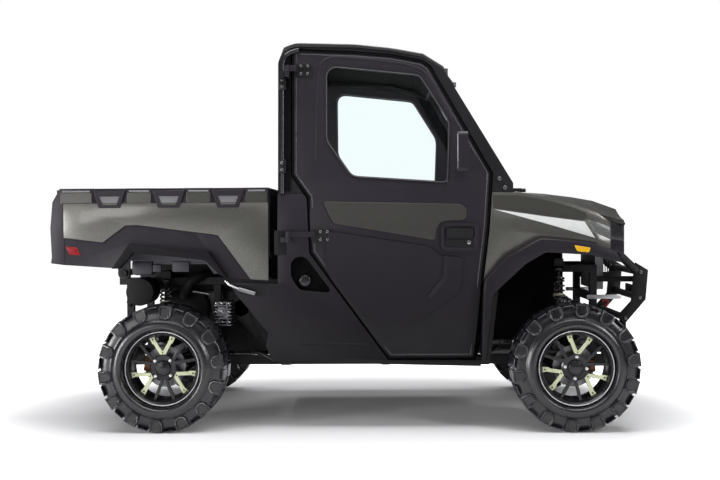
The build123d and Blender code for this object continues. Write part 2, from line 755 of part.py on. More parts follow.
def control_arm(axle, inner_z, outer_z, y_outer):
    """One A-arm: two bars from eyes beside the rail to a ball joint in the wheel."""
    y_inner = -(RAIL_Y + TUBE / 2 + EYE + SEAT_GAP)
    arm = drum((axle, -y_outer, outer_z), EYE + 3, BALL_HEIGHT, (0, 0, 1))
    for side in (-1, 1):
        eye = (axle + side * ARM_SPREAD, y_inner, inner_z)
        arm += drum(eye, EYE, 50, (1, 0, 0))
        arm += rod(eye, (axle + side * 8, -y_outer + 16, outer_z), ARM_ROD)
    return arm


def control_arms(axle):
    lower = control_arm(axle, FLOOR_Z - 25, ARM_LOWER_Z, KINGPIN_Y)
    upper = control_arm(axle, MID_RAIL_Z + 20, ARM_UPPER_Z, KINGPIN_Y)
    y, z = SHOCK_SEAT
    upper += block(axle - 75, axle + 55, -y - 20, -y + 20, ARM_UPPER_Z + 12, z)
    return both_sides(Compound(children=[*lower.solids(), *upper.solids()]))


SPRING_RADIUS = 33


def shock(x, top_z, top_y):
    """One coil-over unit, drawn by its eyes, damper and spring outline."""
    y, z = SHOCK_SEAT
    low, high = (x, -y, z + 16 + SEAT_GAP), (x, -top_y, top_z - 16 - SEAT_GAP)
    line = Vector(*high) - Vector(*low)
    a = Vector(*low) + line * 0.16
    b = Vector(*low) + line * 0.86
    unit = drum(low, 16, 40, (1, 0, 0)) + drum(high, 16, 40, (1, 0, 0))
    return unit + rod(low, high, 12) + rod(a, b, SPRING_RADIUS)


def shocks():
    rear_unit = shock(rear(-50), UPPER_RAIL_Z + TUBE, 350)
    front_unit = shock(front(-30), TOWER, 375)
    return both_sides(Compound(children=[*rear_unit.solids(), *front_unit.solids()]))


def halfshafts():
    result = []
    for axle in (AXLE_R, AXLE_F):
        a, b = (axle, -150, SHAFT_Z), (axle, -KINGPIN_Y + 42, AXLE_Z)
        shaft = rod(a, b, 13)
        shaft += rod((axle, -115 - SEAT_GAP, SHAFT_Z), (axle, -190, SHAFT_Z), 34)
        result += shaft.solids()
    return both_sides(Compound(children=result))


KNUCKLE_X = 28
HUB_RADIUS = 22
HUB_INNER = -10              # the hub's inner face, outboard of the wheel's middle
RACK_X = -125                # tie rods' and rack's line, from the front axle
RACK_Z = 369
RACK_ROD = 9
RACK_HOUSING = 17
RACK_END = 520               # outer eyes of the tie rods, from the middle
RACK_EYE = 10                # half height of a tie rod's eye


def knuckle(axle, width):
    """The upright between the ball joints, with the stub that carries the wheel."""
    reach = BALL_HEIGHT / 2 + SEAT_GAP
    low, high = ARM_LOWER_Z + reach, ARM_UPPER_Z - reach
    y = -KINGPIN_Y
    upright = block(axle - KNUCKLE_X, axle + KNUCKLE_X, y - 22, y + 22, low, high)
    stub_end = -(WHEEL_FACE_Y - width / 2 + HUB_INNER - SEAT_GAP)
    return upright + rod((axle, y, AXLE_Z), (axle, stub_end, AXLE_Z), HUB_RADIUS)


def steered_knuckle():
    """A front knuckle with its steering arm, which lies on the tie rod's eye."""
    z = RACK_Z + RACK_EYE + SEAT_GAP
    arm = block(front(RACK_X - 16), front(-KNUCKLE_X + 2), -RACK_END - 15, -RACK_END + 15, z, z + 14)
    return knuckle(AXLE_F, FRONT_TYRE_WIDTH) + arm


def tie_rods():
    """The rack with a tie rod on each end."""
    x = front(RACK_X)
    bar = drum((x, 0, RACK_Z), RACK_ROD, 2 * RACK_END)
    for y in (-RACK_END, RACK_END):
        bar += drum((x, y, RACK_Z), 15, 2 * RACK_EYE, (0, 0, 1))
    return bar


# ---------------------------------------------------------------- wheels
DISC_RADIUS = 108
SPOKES = 12


def revolve_profile(points):
    """A ring about the wheel's axis from an (across, radius) outline."""
    face = Plane.XY * make_face(Polyline(*points, close=True))
    return revolve(face, axis=Axis.X)


LUGS = 16                    # shoulder lugs on each side of a tyre
LUG_DEPTH = 14
LUG_REACH = 78               # how far a lug reaches in over the tread
FACET = 180 / LUGS           # degrees of one facet: a lug on one side, a gap on the other


def tyre_slice(outline, middle):
    """One flat facet of the tyre, cut between the two radial planes beside it."""
    reach = 2 * TYRE_RADIUS
    side = reach * math.tan(math.radians(FACET / 2))
    wedge = Plane.YZ * make_face(Polyline((0, 0), (reach, side), (reach, -side), close=True))
    band = extrude(make_face(Polyline(*outline, close=True)), amount=side, both=True)
    return Rot(middle, 0, 0) * (band & extrude(wedge, amount=REAR_TYRE_WIDTH, both=True))


def tyre(width):
    """A faceted tyre, its shoulder lugs staggered from side to side."""
    half = width / 2
    bead = RIM_WIDTH / 2 - RIM_WALL
    tread = TYRE_RADIUS - LUG_DEPTH
    # across, radius of one side: the wall from the bead up, then a lug or the gap beside it
    wall = [(bead - 1, RIM_SEAT_RADIUS + SEAT_GAP), (bead + 0.5, RIM_LIP_RADIUS + 1),
            (half - 4, RIM_LIP_RADIUS + 24)]
    lug = [(half, TYRE_RADIUS - 46), (half - 3, TYRE_RADIUS - 14), (half - 22, TYRE_RADIUS),
           (half - LUG_REACH, TYRE_RADIUS), (half - LUG_REACH, tread)]
    gap = [(half - 4, TYRE_RADIUS - 54), (half - 38, tread)]
    slices = []
    for i in range(2 * LUGS):
        near, far = (lug, gap) if i % 2 == 0 else (gap, lug)
        outline = wall + near + [(-x, r) for x, r in reversed(wall + far)]
        slices.append(tyre_slice(outline, 90 + i * FACET))
    return slices[0].fuse(*slices[1:])


def rim():
    """Barrel, spoked face, hub and brake disc; +X across is outboard."""
    half = RIM_WIDTH / 2
    barrel = revolve_profile([(-half, RIM_LIP_RADIUS), (-half, RIM_SEAT_RADIUS - RIM_WALL),
                              (half, RIM_SEAT_RADIUS - RIM_WALL), (half, RIM_LIP_RADIUS),
                              (half - RIM_WALL + 2, RIM_LIP_RADIUS),
                              (half - RIM_WALL, RIM_SEAT_RADIUS),
                              (-half + RIM_WALL, RIM_SEAT_RADIUS),
                              (-half + RIM_WALL - 2, RIM_LIP_RADIUS)])
    face_x = half - 40
    hub = Rot(0, 90, 0) * Pos(0, 0, face_x - 10) * Cylinder(58, 34)
    spokes = Part()
    for i in range(SPOKES):
        reach = RIM_SEAT_RADIUS - RIM_WALL / 2
        bar = Pos(face_x, 0, reach / 2) * Box(16, 17, reach)
        spokes += Rot(i * 360 / SPOKES, 0, 0) * bar
    back = Rot(0, 90, 0) * Pos(0, 0, (HUB_INNER + face_x) / 2) * Cylinder(40, face_x - HUB_INNER)
    disc = Rot(0, 90, 0) * Pos(0, 0, HUB_INNER + 4) * Cylinder(DISC_RADIUS, 5)
    return barrel + hub + spokes + back + disc


def wheel_place(axle, side, width):
    """Places a wheel part drawn across X onto its axle; side is -1 right, +1 left."""
    turn = Rot(0, 0, 90 * side)
    return Pos(axle, side * (WHEEL_FACE_Y - width / 2), AXLE_Z) * turn


# ---------------------------------------------------------------- cargo bed
BED_HALF = 625               # half of the room between the bed's walls
BED_WALL = 30
BED_SIDE_Y = BED_HALF + 2 * BED_WALL + 50    # outer face, 50 of room between inner and outer wall
BED_FRONT = 556              # outer face of the bed's front wall, from the rear axle
FLARE_Y = BED_SIDE_Y + 37
GATE_THICKNESS = 35
GATE_AXIS = (-568, BED_FLOOR_Z - 20)      # from the rear axle, height
# x, z of the bed's side, from its rear top corner
BED_SIDE = [
    (rear(-528), BED_TOP_Z), (rear(-568), BED_TOP_Z - 70), (rear(-REAR_OVERHANG), BED_TOP_Z - 205),
    (rear(-574), BED_TOP_Z - 350), (rear(-578), BED_TOP_Z - 388), (rear(-511), BED_TOP_Z - 397),
    (rear(-248), BED_TOP_Z - 415), (rear(-161), BED_TOP_Z - 286), (rear(244), BED_TOP_Z - 331),
    (rear(346), BED_TOP_Z - 465), (rear(BED_FRONT), BED_TOP_Z - 485), (rear(BED_FRONT), BED_TOP_Z),
]
# x, z of the flare over the rear wheel
BED_FLARE = [
    (rear(-253), BED_TOP_Z - 416), (rear(-161), BED_TOP_Z - 286), (rear(244), BED_TOP_Z - 331),
    (rear(346), BED_TOP_Z - 469), (rear(305), BED_TOP_Z - 448), (rear(230), BED_TOP_Z - 373),
    (rear(-142), BED_TOP_Z - 333), (rear(-215), BED_TOP_Z - 416),
]
# x, z of the painted skin on the bed's side
BED_PANEL = [
    (rear(-510), BED_TOP_Z - 77), (rear(-510), BED_TOP_Z - 256), (rear(-305), BED_TOP_Z - 281),
    (rear(-186), BED_TOP_Z - 193), (rear(-130), BED_TOP_Z - 191), (rear(270), BED_TOP_Z - 242),
    (rear(296), BED_TOP_Z - 248), (rear(463), BED_TOP_Z - 475),
    (rear(BED_FRONT), BED_TOP_Z - 482), (rear(BED_FRONT), BED_TOP_Z - 77),
]
POCKET_FIRST = -268          # middle of the rear stake pocket, from the rear axle
POCKET_PITCH = 309
POCKET_TOP = 166
POCKET_BOTTOM = 100
POCKET_DEPTH = 104
BED_BEAM_Y = 290


def pocket(i):
    x = rear(POCKET_FIRST + i * POCKET_PITCH)
    low = BED_TOP_Z - POCKET_DEPTH
    outline = [(x - POCKET_TOP / 2, BED_TOP_Z + 5), (x - POCKET_BOTTOM / 2 - 14, BED_TOP_Z - 48),
               (x - POCKET_BOTTOM / 2, low), (x + POCKET_BOTTOM / 2, low),
               (x + POCKET_BOTTOM / 2 + 14, BED_TOP_Z - 48), (x + POCKET_TOP / 2, BED_TOP_Z + 5)]
    return side_plate(outline, BED_SIDE_Y - 18, BED_SIDE_Y + 10)


def bed_sides():
    side = side_plate(BED_SIDE, BED_SIDE_Y - BED_WALL, BED_SIDE_Y)
    side += block(rear(-528), rear(BED_FRONT), -BED_SIDE_Y, -BED_HALF, BED_TOP_Z - 30, BED_TOP_Z)
    side += block(rear(-568), rear(-520), -BED_SIDE_Y, -BED_HALF, BED_FLOOR_Z - 45, BED_TOP_Z - 70)
    side += block(rear(-530), rear(-520), -BED_SIDE_Y, -BED_HALF, BED_FLOOR_Z - 45, BED_TOP_Z)
    side += side_plate(BED_FLARE, BED_SIDE_Y - BED_WALL, FLARE_Y)
    for i in range(3):
        side -= pocket(i)
    return both_sides(side)


def bed_panels():
    return both_sides(side_plate(BED_PANEL, BED_SIDE_Y, BED_SIDE_Y + 6))


def bed_tub():
    """Floor, front wall, inner side walls, beams and pivot lugs."""
    wall_y = BED_HALF + BED_WALL
    floor_end = rear(GATE_AXIS[0] + 36)
    under = BED_FLOOR_Z - BED_WALL
    tub = block(floor_end, rear(BED_FRONT), -BED_HALF, BED_HALF, under, BED_FLOOR_Z)
    tub += block(rear(BED_FRONT - BED_WALL), rear(BED_FRONT), -BED_HALF, BED_HALF, under, BED_TOP_Z)
    inner_rear = rear(-519)
    for sign in (-1, 1):
        tub += block(inner_rear, rear(BED_FRONT), sign * BED_HALF, sign * wall_y, under,
                     BED_TOP_Z - 30)
        y = sign * BED_BEAM_Y
        tub += block(rear(-420), rear(BED_FRONT), y - 15, y + 15, under - 40, under)
        x, z = rear(BED_PIVOT_X), BED_PIVOT_Z
        lug = block(x - 34, x + 34, y + 10, y - 10, z, under) + drum((x, y, z), 34, 20)
        tub += lug
        tub -= drum((x, y, z), BED_PIVOT_RADIUS + RUNNING_FIT, 60)
        gx, gz = rear(GATE_AXIS[0]), GATE_AXIS[1]
        ear = block(gx - 10, floor_end + 5, sign * 430, sign * 442, gz - 12, gz + 6)
        tub += ear + drum((gx, sign * 460, gz), 6, 60)
    return tub


def tailgate():
    x0 = rear(-REAR_OVERHANG + 2)
    bottom = GATE_AXIS[1] + 18
    gate = block(x0, x0 + GATE_THICKNESS, -BED_HALF + 6, BED_HALF - 6, bottom, BED_TOP_Z - 4)
    gx, gz = rear(GATE_AXIS[0]), GATE_AXIS[1]
    for sign in (-1, 1):
        knuckle_y = sign * 468
        gate += drum((gx, knuckle_y, gz), 11, 40)
        gate += block(gx - 10, gx + 11, knuckle_y - 20, knuckle_y + 20, gz, bottom)
        gate -= drum((gx, knuckle_y, gz), 6 + RUNNING_FIT, 60)
    return gate


TAIL_LAMP = (BED_TOP_Z - 228, BED_TOP_Z - 118)   # underside and top
# x, z of the marker lamp on the bed's side
MARKER = [(rear(-500), BED_TOP_Z - 302), (rear(-445), BED_TOP_Z - 311),
          (rear(-430), BED_TOP_Z - 346), (rear(-475), BED_TOP_Z - 343)]


def tail_lamps():
    """Tail lamps on the bed's rear corners and marker lamps on its sides."""
    lamp = block(rear(-578), rear(-568), -BED_SIDE_Y + 31, -BED_HALF - 11, *TAIL_LAMP)
    marker = side_plate(MARKER, BED_SIDE_Y, BED_SIDE_Y + 6)
    return both_sides(Compound(children=[lamp, marker]))


# ---------------------------------------------------------------- files
def write(name, shape):
    export_step(shape, f"parts/{name}.step")


os.makedirs("parts", exist_ok=True)

right_door = door()
right_glass = door_glass()
write("door_right", right_door)
write("door_left", left_of(right_door))
write("door_glass_right", right_glass)
write("door_glass_left", left_of(right_glass))
right_mirror = mirror_unit()
write("mirror_right", right_mirror)
write("mirror_left", left_of(right_mirror))
write("cab_frame", cab_frame())
write("roof", roof())
write("windshield", windshield())
write("rear_wall", rear_wall())
write("rear_window", rear_window())
write("floor_pan", floor_pan())
write("side_panels", side_panels())
write("seat_base", seat_base())
write("seat_cushions", seat_cushions())
write("seat_backs", seat_backs())
write("dashboard", dashboard())
write("cowl", cowl())
write("steering_wheel", steering_wheel())
write("hood", hood())
write("front_fenders", front_fenders())
write("front_flares", front_flares())
write("headlamps", headlamps())
write("fascia", fascia())
write("radiator", radiator())
write("bumper", bumper())
write("frame_rails", frame_rails())
write("frame_posts", frame_posts())
write("frame_cross_members", frame_cross_members())
write("hitch_receiver", hitch_receiver())
write("engine", engine())
write("muffler", muffler())
cases = drivetrain()
write("drivetrain", Compound(children=[*cases[0].solids(), *cases[1].solids(),
                                       *propshaft().solids()]))
write("control_arms", Compound(children=[*control_arms(AXLE_R).solids(),
                                         *control_arms(AXLE_F).solids()]))
write("shocks", shocks())
write("halfshafts", halfshafts())
front_knuckle = steered_knuckle()
write("tie_rods", tie_rods())
write("rear_knuckles", both_sides(knuckle(AXLE_R, REAR_TYRE_WIDTH)))
write("knuckle_right", front_knuckle)
write("knuckle_left", left_of(front_knuckle))
for end, axle, width in (("front", AXLE_F, FRONT_TYRE_WIDTH), ("rear", AXLE_R, REAR_TYRE_WIDTH)):
    rubber = tyre(width)
    wheel = rim()
    for name, side in (("right", -1), ("left", 1)):
        place = wheel_place(axle, side, width)
        write(f"tyre_{end}_{name}", place * rubber)
        write(f"rim_{end}_{name}", place * wheel)
write("bed_sides", bed_sides())
write("bed_panels", bed_panels())
write("bed_tub", bed_tub())
write("tailgate", tailgate())
write("tail_lamps", tail_lamps())
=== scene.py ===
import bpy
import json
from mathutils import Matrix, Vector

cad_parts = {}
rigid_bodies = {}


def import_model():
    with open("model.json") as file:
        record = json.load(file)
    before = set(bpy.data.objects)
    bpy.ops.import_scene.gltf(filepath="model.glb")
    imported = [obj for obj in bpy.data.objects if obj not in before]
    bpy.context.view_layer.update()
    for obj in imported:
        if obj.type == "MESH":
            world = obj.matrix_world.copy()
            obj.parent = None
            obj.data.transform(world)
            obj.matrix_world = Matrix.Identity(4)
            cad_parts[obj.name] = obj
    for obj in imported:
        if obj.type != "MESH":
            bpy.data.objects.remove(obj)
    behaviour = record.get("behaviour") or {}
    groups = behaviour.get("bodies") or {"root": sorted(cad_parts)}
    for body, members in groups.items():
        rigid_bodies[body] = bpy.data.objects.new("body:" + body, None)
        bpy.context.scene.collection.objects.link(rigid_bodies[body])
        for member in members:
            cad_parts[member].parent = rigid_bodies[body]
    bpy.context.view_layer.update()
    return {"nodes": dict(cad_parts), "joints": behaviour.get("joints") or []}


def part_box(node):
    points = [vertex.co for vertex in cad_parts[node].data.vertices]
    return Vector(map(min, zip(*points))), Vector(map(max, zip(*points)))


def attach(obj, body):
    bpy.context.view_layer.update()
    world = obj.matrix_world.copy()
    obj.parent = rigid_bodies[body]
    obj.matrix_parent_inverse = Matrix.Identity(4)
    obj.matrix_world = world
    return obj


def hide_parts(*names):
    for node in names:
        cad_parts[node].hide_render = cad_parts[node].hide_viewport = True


bl_info = {
    "name": "Side by side utility vehicle",
    "version": (1, 0, 0),
    "blender": (4, 5, 0),
    "location": "3D View > Sidebar > Utility Vehicle",
    "description": "Dresses the utility vehicle's solids with detailed pieces and finishes",
    "category": "Object",
}

import json
import math

import bpy
from mathutils import Matrix, Vector

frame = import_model()

JOINTS = {joint["name"]: joint for joint in frame["joints"]}
FRONT_AXLE = JOINTS["wheel_front_right_spin"]["pos_m"][0]
REAR_AXLE = JOINTS["wheel_rear_right_spin"]["pos_m"][0]
AXLE_Z = JOINTS["wheel_front_right_spin"]["pos_m"][2]
TYRE_RADIUS = AXLE_Z
MERGE_DISTANCE = 0.00002  # vertices nearer than this are one
FLAT_ANGLE = math.radians(1.5)  # faces that turn less than this are one flat face
BELT_Z = 1.235  # top of the lower body
ROOF_Z = 2.031  # highest edge of the roof's side
SILL_Z = 0.378  # lower edge of the doors
BED_TOP_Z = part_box("bed_sides")[1][2]
BED_SIDE_Y = 0.735  # outer face of the bed's sides


def rear(dx):
    """X of a station measured forward from the rear axle."""
    return REAR_AXLE + dx


def front(dx):
    """X of a station measured forward from the front axle."""
    return FRONT_AXLE + dx


# height of a knee in the cab's side, half of the body's width there
SIDE_SKIN = [(0.28, 0.685), (0.558, 0.715), (1.06, 0.722), (1.29, 0.7), (1.986, 0.64),
    (2.091, 0.632)]


def skin_half(z):
    """Half of the body's width at a height."""
    for (z0, w0), (z1, w1) in zip(SIDE_SKIN, SIDE_SKIN[1:]):
        if z <= z1:
            return w0 + (w1 - w0) * (max(z, z0) - z0) / (z1 - z0)
    return SIDE_SKIN[-1][1]


# ---------------------------------------------------------------- modelling helpers
def clear():
    """Leaves object mode on and nothing selected."""
    if bpy.context.object and bpy.context.object.mode != "OBJECT":
        bpy.ops.object.mode_set(mode="OBJECT")
    bpy.ops.object.select_all(action="DESELECT")


def activate(piece):
    clear()
    piece.select_set(True)
    bpy.context.view_layer.objects.active = piece


def named(piece, name):
    piece.name = name
    piece.data.name = name
    return piece


def settle(piece):
    """Puts the piece's place into its mesh."""
    activate(piece)
    bpy.ops.object.transform_apply(location=True, rotation=True, scale=True)
    return piece


def pick(piece, kind, test):
    """Goes to edit mode with the vertices, edges or faces selected that pass a test."""
    activate(piece)
    mesh = piece.data
    for items in (mesh.vertices, mesh.edges, mesh.polygons):
        items.foreach_set("select", [False] * len(items))
    items = {"VERT": mesh.vertices, "EDGE": mesh.edges, "FACE": mesh.polygons}[kind]
    for item in items:
        if test(item):
            item.select = True
    bpy.context.tool_settings.mesh_select_mode = (kind == "VERT", kind == "EDGE", kind == "FACE")
    bpy.ops.object.mode_set(mode="EDIT")


def pick_all(piece):
    pick(piece, "VERT", lambda vert: True)


def edge_middle(piece, edge):
    a, b = (piece.data.vertices[i].co for i in edge.vertices)
    return (a + b) / 2


def edge_along(piece, edge):
    a, b = (piece.data.vertices[i].co for i in edge.vertices)
    return (b - a).normalized()


def done(piece, angle=35):
    """Back to object mode with normals outward and shading smooth up to an angle."""
    pick_all(piece)
    bpy.ops.mesh.normals_make_consistent(inside=False)
    bpy.ops.object.mode_set(mode="OBJECT")
    activate(piece)
    bpy.ops.object.shade_smooth_by_angle(angle=math.radians(angle))
    return piece


def modify(piece, kind, **settings):
    """Adds a modifier, sets it and applies it."""
    activate(piece)
    modifier = piece.modifiers.new(kind.lower(), kind)
    for key, value in settings.items():
        setattr(modifier, key, value)
    bpy.ops.object.modifier_apply(modifier=modifier.name)
    return piece


def soften(piece, width, segments=2, angle=35):
    """Rounds the sharp edges."""
    modify(piece, "BEVEL", width=width, segments=segments, limit_method="ANGLE",
        angle_limit=math.radians(angle), miter_outer="MITER_ARC")
    bpy.ops.object.shade_smooth_by_angle(angle=math.radians(angle))
    return piece


def sink(border, slope, offset):
    """Moves what is selected within a border, over a slope, and leaves edit mode."""
    bpy.ops.mesh.inset(thickness=border)
    bpy.ops.mesh.inset(thickness=slope)
    bpy.ops.transform.translate(value=offset)
    bpy.ops.object.mode_set(mode="OBJECT")


def block(name, low, high, width=0.003):
    """A box between two corners, its edges rounded."""
    clear()
    low, high = Vector(low), Vector(high)
    bpy.ops.mesh.primitive_cube_add(size=1, location=(low + high) / 2, scale=high - low)
    piece = settle(named(bpy.context.object, name))
    return soften(piece, width) if width else piece


def drum(name, centre, radius, length, axis="Y", sides=32, width=0.002):
    """A cylinder about its middle, its rims rounded."""
    clear()
    turn = {"X": (0, math.pi / 2, 0), "Y": (math.pi / 2, 0, 0), "Z": (0, 0, 0)}[axis]
    bpy.ops.mesh.primitive_cylinder_add(vertices=sides, radius=radius, depth=length,
        location=centre, rotation=turn)
    piece = settle(named(bpy.context.object, name))
    return soften(piece, width, angle=50) if width else done(piece)


def outline(name, points):
    """A flat face whose corners lie at the points, from a circle of as many corners."""
    clear()
    bpy.ops.mesh.primitive_circle_add(vertices=len(points), radius=1, fill_type="NGON")
    piece = named(bpy.context.object, name)
    for vert, point in zip(piece.data.vertices, points):
        vert.co = point
    return piece


def push(piece, offset):
    """Extrudes all of an open face into a solid."""
    pick_all(piece)
    bpy.ops.mesh.extrude_region_move(TRANSFORM_OT_translate={"value": offset})
    return done(piece)


def plate(name, points, y0, y1, width=0.003):
    """An (x, z) outline made solid between two Y."""
    piece = push(outline(name, [(x, y0, z) for x, z in points]), (0, y1 - y0, 0))
    return soften(piece, width) if width else piece


def across(name, points, half, width=0.003):
    """An (x, z) outline made solid across the middle."""
    return plate(name, points, -half, half, width)


def lathe(name, profile, centre, steps=64):
    """A profile of (outward, radius) points spun about an axle along Y; outward is -Y."""
    piece = outline(name, [(0, -t, r) for t, r in profile])
    pick(piece, "FACE", lambda face: True)
    bpy.ops.mesh.delete(type="ONLY_FACE")
    pick_all(piece)
    bpy.ops.mesh.spin(steps=steps, angle=2 * math.pi, center=(0, 0, 0), axis=(0, 1, 0))
    bpy.ops.mesh.select_all(action="SELECT")
    bpy.ops.mesh.remove_doubles(threshold=MERGE_DISTANCE)
    bpy.ops.mesh.normals_make_consistent(inside=False)
    clear()
    piece.data.transform(Matrix.Translation(centre))
    return done(piece, 30)


def tube(name, points, radius, smooth_line=False, sides=4):
    """A round bar through the points."""
    clear()
    bpy.ops.curve.primitive_nurbs_path_add()
    wire = bpy.context.object
    line = wire.data
    line.splines.clear()
    spline = line.splines.new("NURBS" if smooth_line else "POLY")
    spline.points.add(len(points) - 1)
    for slot, point in zip(spline.points, points):
        slot.co = (*point, 1)
    if smooth_line:
        spline.order_u = 3
        spline.use_endpoint_u = True
    line.dimensions = "3D"
    line.resolution_u = 6
    line.bevel_depth = radius
    line.bevel_resolution = sides
    line.use_fill_caps = True
    bpy.ops.object.convert(target="MESH")
    piece = named(bpy.context.object, name)
    pick_all(piece)
    bpy.ops.mesh.remove_doubles(threshold=MERGE_DISTANCE)
    return done(settle(piece))


def coil(name, start, end, radius, wire, turns):
    """A helical spring between two points."""
    start, end = Vector(start), Vector(end)
    line = end - start
    side = line.cross(Vector((1, 0, 0))).normalized()
    other = line.cross(side).normalized()
    points = []
    for i in range(turns * 12 + 1):
        angle = math.radians(i * 30)
        points.append(start + line * i / (turns * 12) + (side * math.cos(angle) + other
            * math.sin(angle)) * radius)
    return tube(name, points, wire, smooth_line=True, sides=2)


def spare(piece, name):
    """A copy with its own mesh."""
    copy = bpy.data.objects.new(name, piece.data.copy())
    copy.data.name = name
    bpy.context.scene.collection.objects.link(copy)
    return copy


def turned(piece, name, degrees, axis="Y"):
    """A copy turned about an axis through the origin."""
    copy = spare(piece, name)
    copy.data.transform(Matrix.Rotation(math.radians(degrees), 4, axis))
    return copy


def around(form, turns):
    """Copies of a form turned about the axle by these degrees; the form itself goes."""
    copies = [turned(form, "copy", turn) for turn in turns]
    bpy.data.objects.remove(form)
    return copies


def mirrored(piece, name):
    """A copy on the other side of the vehicle."""
    copy = spare(piece, name)
    copy.data.transform(Matrix.Diagonal((1, -1, 1, 1)))
    copy.data.flip_normals()
    return copy


def joined(name, pieces):
    clear()
    for piece in pieces:
        piece.select_set(True)
    bpy.context.view_layer.objects.active = pieces[0]
    bpy.ops.object.join()
    return named(bpy.context.object, name)


def round_side_corners(piece, radius, test=lambda middle: True):
    """Rounds the corners that show from the side: edges that run across the vehicle."""
    pick(piece, "EDGE", lambda edge: abs(edge_along(piece, edge).y) > 0.97
        and test(edge_middle(piece, edge)))
    bpy.ops.mesh.bevel(offset=radius, segments=4, clamp_overlap=True)
    clear()


def whole_form(name, node):
    """A copy of a solid, merged, its flat faces made whole."""
    piece = spare(frame["nodes"][node], name)
    piece.data.materials.clear()
    pick_all(piece)
    bpy.ops.mesh.remove_doubles(threshold=MERGE_DISTANCE)
    bpy.ops.mesh.dissolve_limited(angle_limit=FLAT_ANGLE)
    clear()
    return named(piece, name)


def cad_form(name, node, width, segments=2, angle=30, corners=0.0, test=lambda middle: True):
    """A copy of a solid, its edges rounded."""
    piece = whole_form(name, node)
    if corners:
        round_side_corners(piece, corners, test)
    return soften(piece, width, segments, angle) if width else done(piece)


def split_off(piece, name, test):
    """Parts the faces that pass a test from a piece and returns them as a new piece."""
    pick(piece, "FACE", test)
    before = set(bpy.data.objects)
    bpy.ops.mesh.separate(type="SELECTED")
    clear()
    return named(next(iter(set(bpy.data.objects) - before)), name)


def carve(piece, cutter):
    """Cuts the cutter's shape out of the piece and removes the cutter."""
    modify(piece, "BOOLEAN", operation="DIFFERENCE", solver="EXACT", object=cutter)
    bpy.data.objects.remove(cutter)
    return piece


def one(key, piece, body="chassis", *nodes):
    """Gives a piece its finish and body, and hides the solids it stands for."""
    piece.data.materials.clear()
    piece.data.materials.append(FINISHES[key])
    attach(piece, body)
    if nodes:
        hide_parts(*nodes)


def both(key, piece, body="chassis", *nodes):
    """Dresses a right-hand piece and its mirror copy; {} in a name stands for the side."""
    base = piece.name
    other = mirrored(piece, base + "_left")
    for copy, side in ((named(piece, base + "_right"), "right"), (other, "left")):
        one(key, copy, body.format(side), *[node.format(side) for node in nodes])


def stand_in(key, name, node, width, body="chassis", **options):
    """A solid's own form with rounded edges, shown in the solid's place."""
    one(key, cad_form(name, node, width, **options), body, node)


def coat(key, *nodes):
    """Gives solids that keep their own shape their finish."""
    for node in nodes:
        materials = frame["nodes"][node].data.materials
        materials.clear()
        materials.append(FINISHES[key])


# ---------------------------------------------------------------- materials
FLOAT, COLOUR = "NodeSocketFloat", "NodeSocketColor"
MID_GREY, PALE_GREY = (0.1, 0.1, 0.1, 1), (0.2, 0.2, 0.2, 1)
PAINTED_SHADE_FLOOR, PAINTED_SHADE_TOP = 0.35, 1.1  # heights between which painted shade darkens the lower parts


def wire(tree, kind, inputs=None, **values):
    """Adds a node, sets its properties and fills its inputs with values or links."""
    node = tree.nodes.new("ShaderNode" + kind)
    for key, value in values.items():
        setattr(node, key, value)
    for key, value in (inputs or {}).items():
        socket = node.inputs[key]
        if isinstance(value, bpy.types.NodeSocket):
            tree.links.new(value, socket)
        else:
            socket.default_value = value
    return node


def blend_colours(tree, mask, colour, other):
    """One colour where the mask is 0 and the other where it is 1."""
    mix = wire(tree, "Mix", {"Factor": mask}, data_type="RGBA")
    tree.links.new(colour, mix.inputs["A"])
    tree.links.new(other, mix.inputs["B"])
    return mix.outputs["Result"]


def object_place(tree):
    return wire(tree, "TexCoord").outputs["Object"]


def new_group(name, inputs, outputs):
    """A shader group: inputs by name with their defaults, and the outputs' names."""
    tree = bpy.data.node_groups.new(name, "ShaderNodeTree")
    for label, default in inputs.items():
        kind = FLOAT if isinstance(default, float) else COLOUR
        tree.interface.new_socket(label, in_out="INPUT", socket_type=kind).default_value = default
    for label in outputs:
        kind = COLOUR if label == "Colour" else FLOAT
        tree.interface.new_socket(label, in_out="OUTPUT", socket_type=kind)
    given, out = tree.nodes.new("NodeGroupInput"), tree.nodes.new("NodeGroupOutput")
    return tree, given.outputs, out.inputs


def drift_group():
    """Slow changes of colour and roughness over a surface, with painted shade that darkens it
    toward the ground.
    """
    tree, given, out = new_group(
        "surface_drift", {"Colour": MID_GREY, "Shade": PALE_GREY, "Scale": 6.0, "Smoothest": 0.3,
        "Roughest": 0.4, "Low Shade": 1.0}, ["Colour", "Roughness"])
    place = object_place(tree)
    cloud = wire(tree, "TexNoise", {"Vector": place, "Scale": given["Scale"], "Detail": 5.0,
        "Roughness": 0.6})
    mask = wire(tree, "MapRange", {"Value": cloud.outputs["Fac"], "From Min": 0.32,
        "From Max": 0.68}).outputs["Result"]
    rough = wire(tree, "MapRange", {"Value": mask, "To Min": given["Smoothest"],
        "To Max": given["Roughest"]})
    # painted shade: the colour darkens from the top height down to the floor height
    height = wire(tree, "SeparateXYZ", {"Vector": place}).outputs["Z"]
    shade = wire(tree, "MapRange", {"Value": height, "From Min": PAINTED_SHADE_FLOOR,
        "From Max": PAINTED_SHADE_TOP, "To Min": given["Low Shade"]})
    colour = blend_colours(tree, mask, given["Colour"], given["Shade"])
    whole = wire(tree, "VectorMath", {0: colour, "Scale": shade.outputs["Result"]},
        operation="SCALE")
    tree.links.new(whole.outputs["Vector"], out["Colour"])
    tree.links.new(rough.outputs["Result"], out["Roughness"])
    return tree


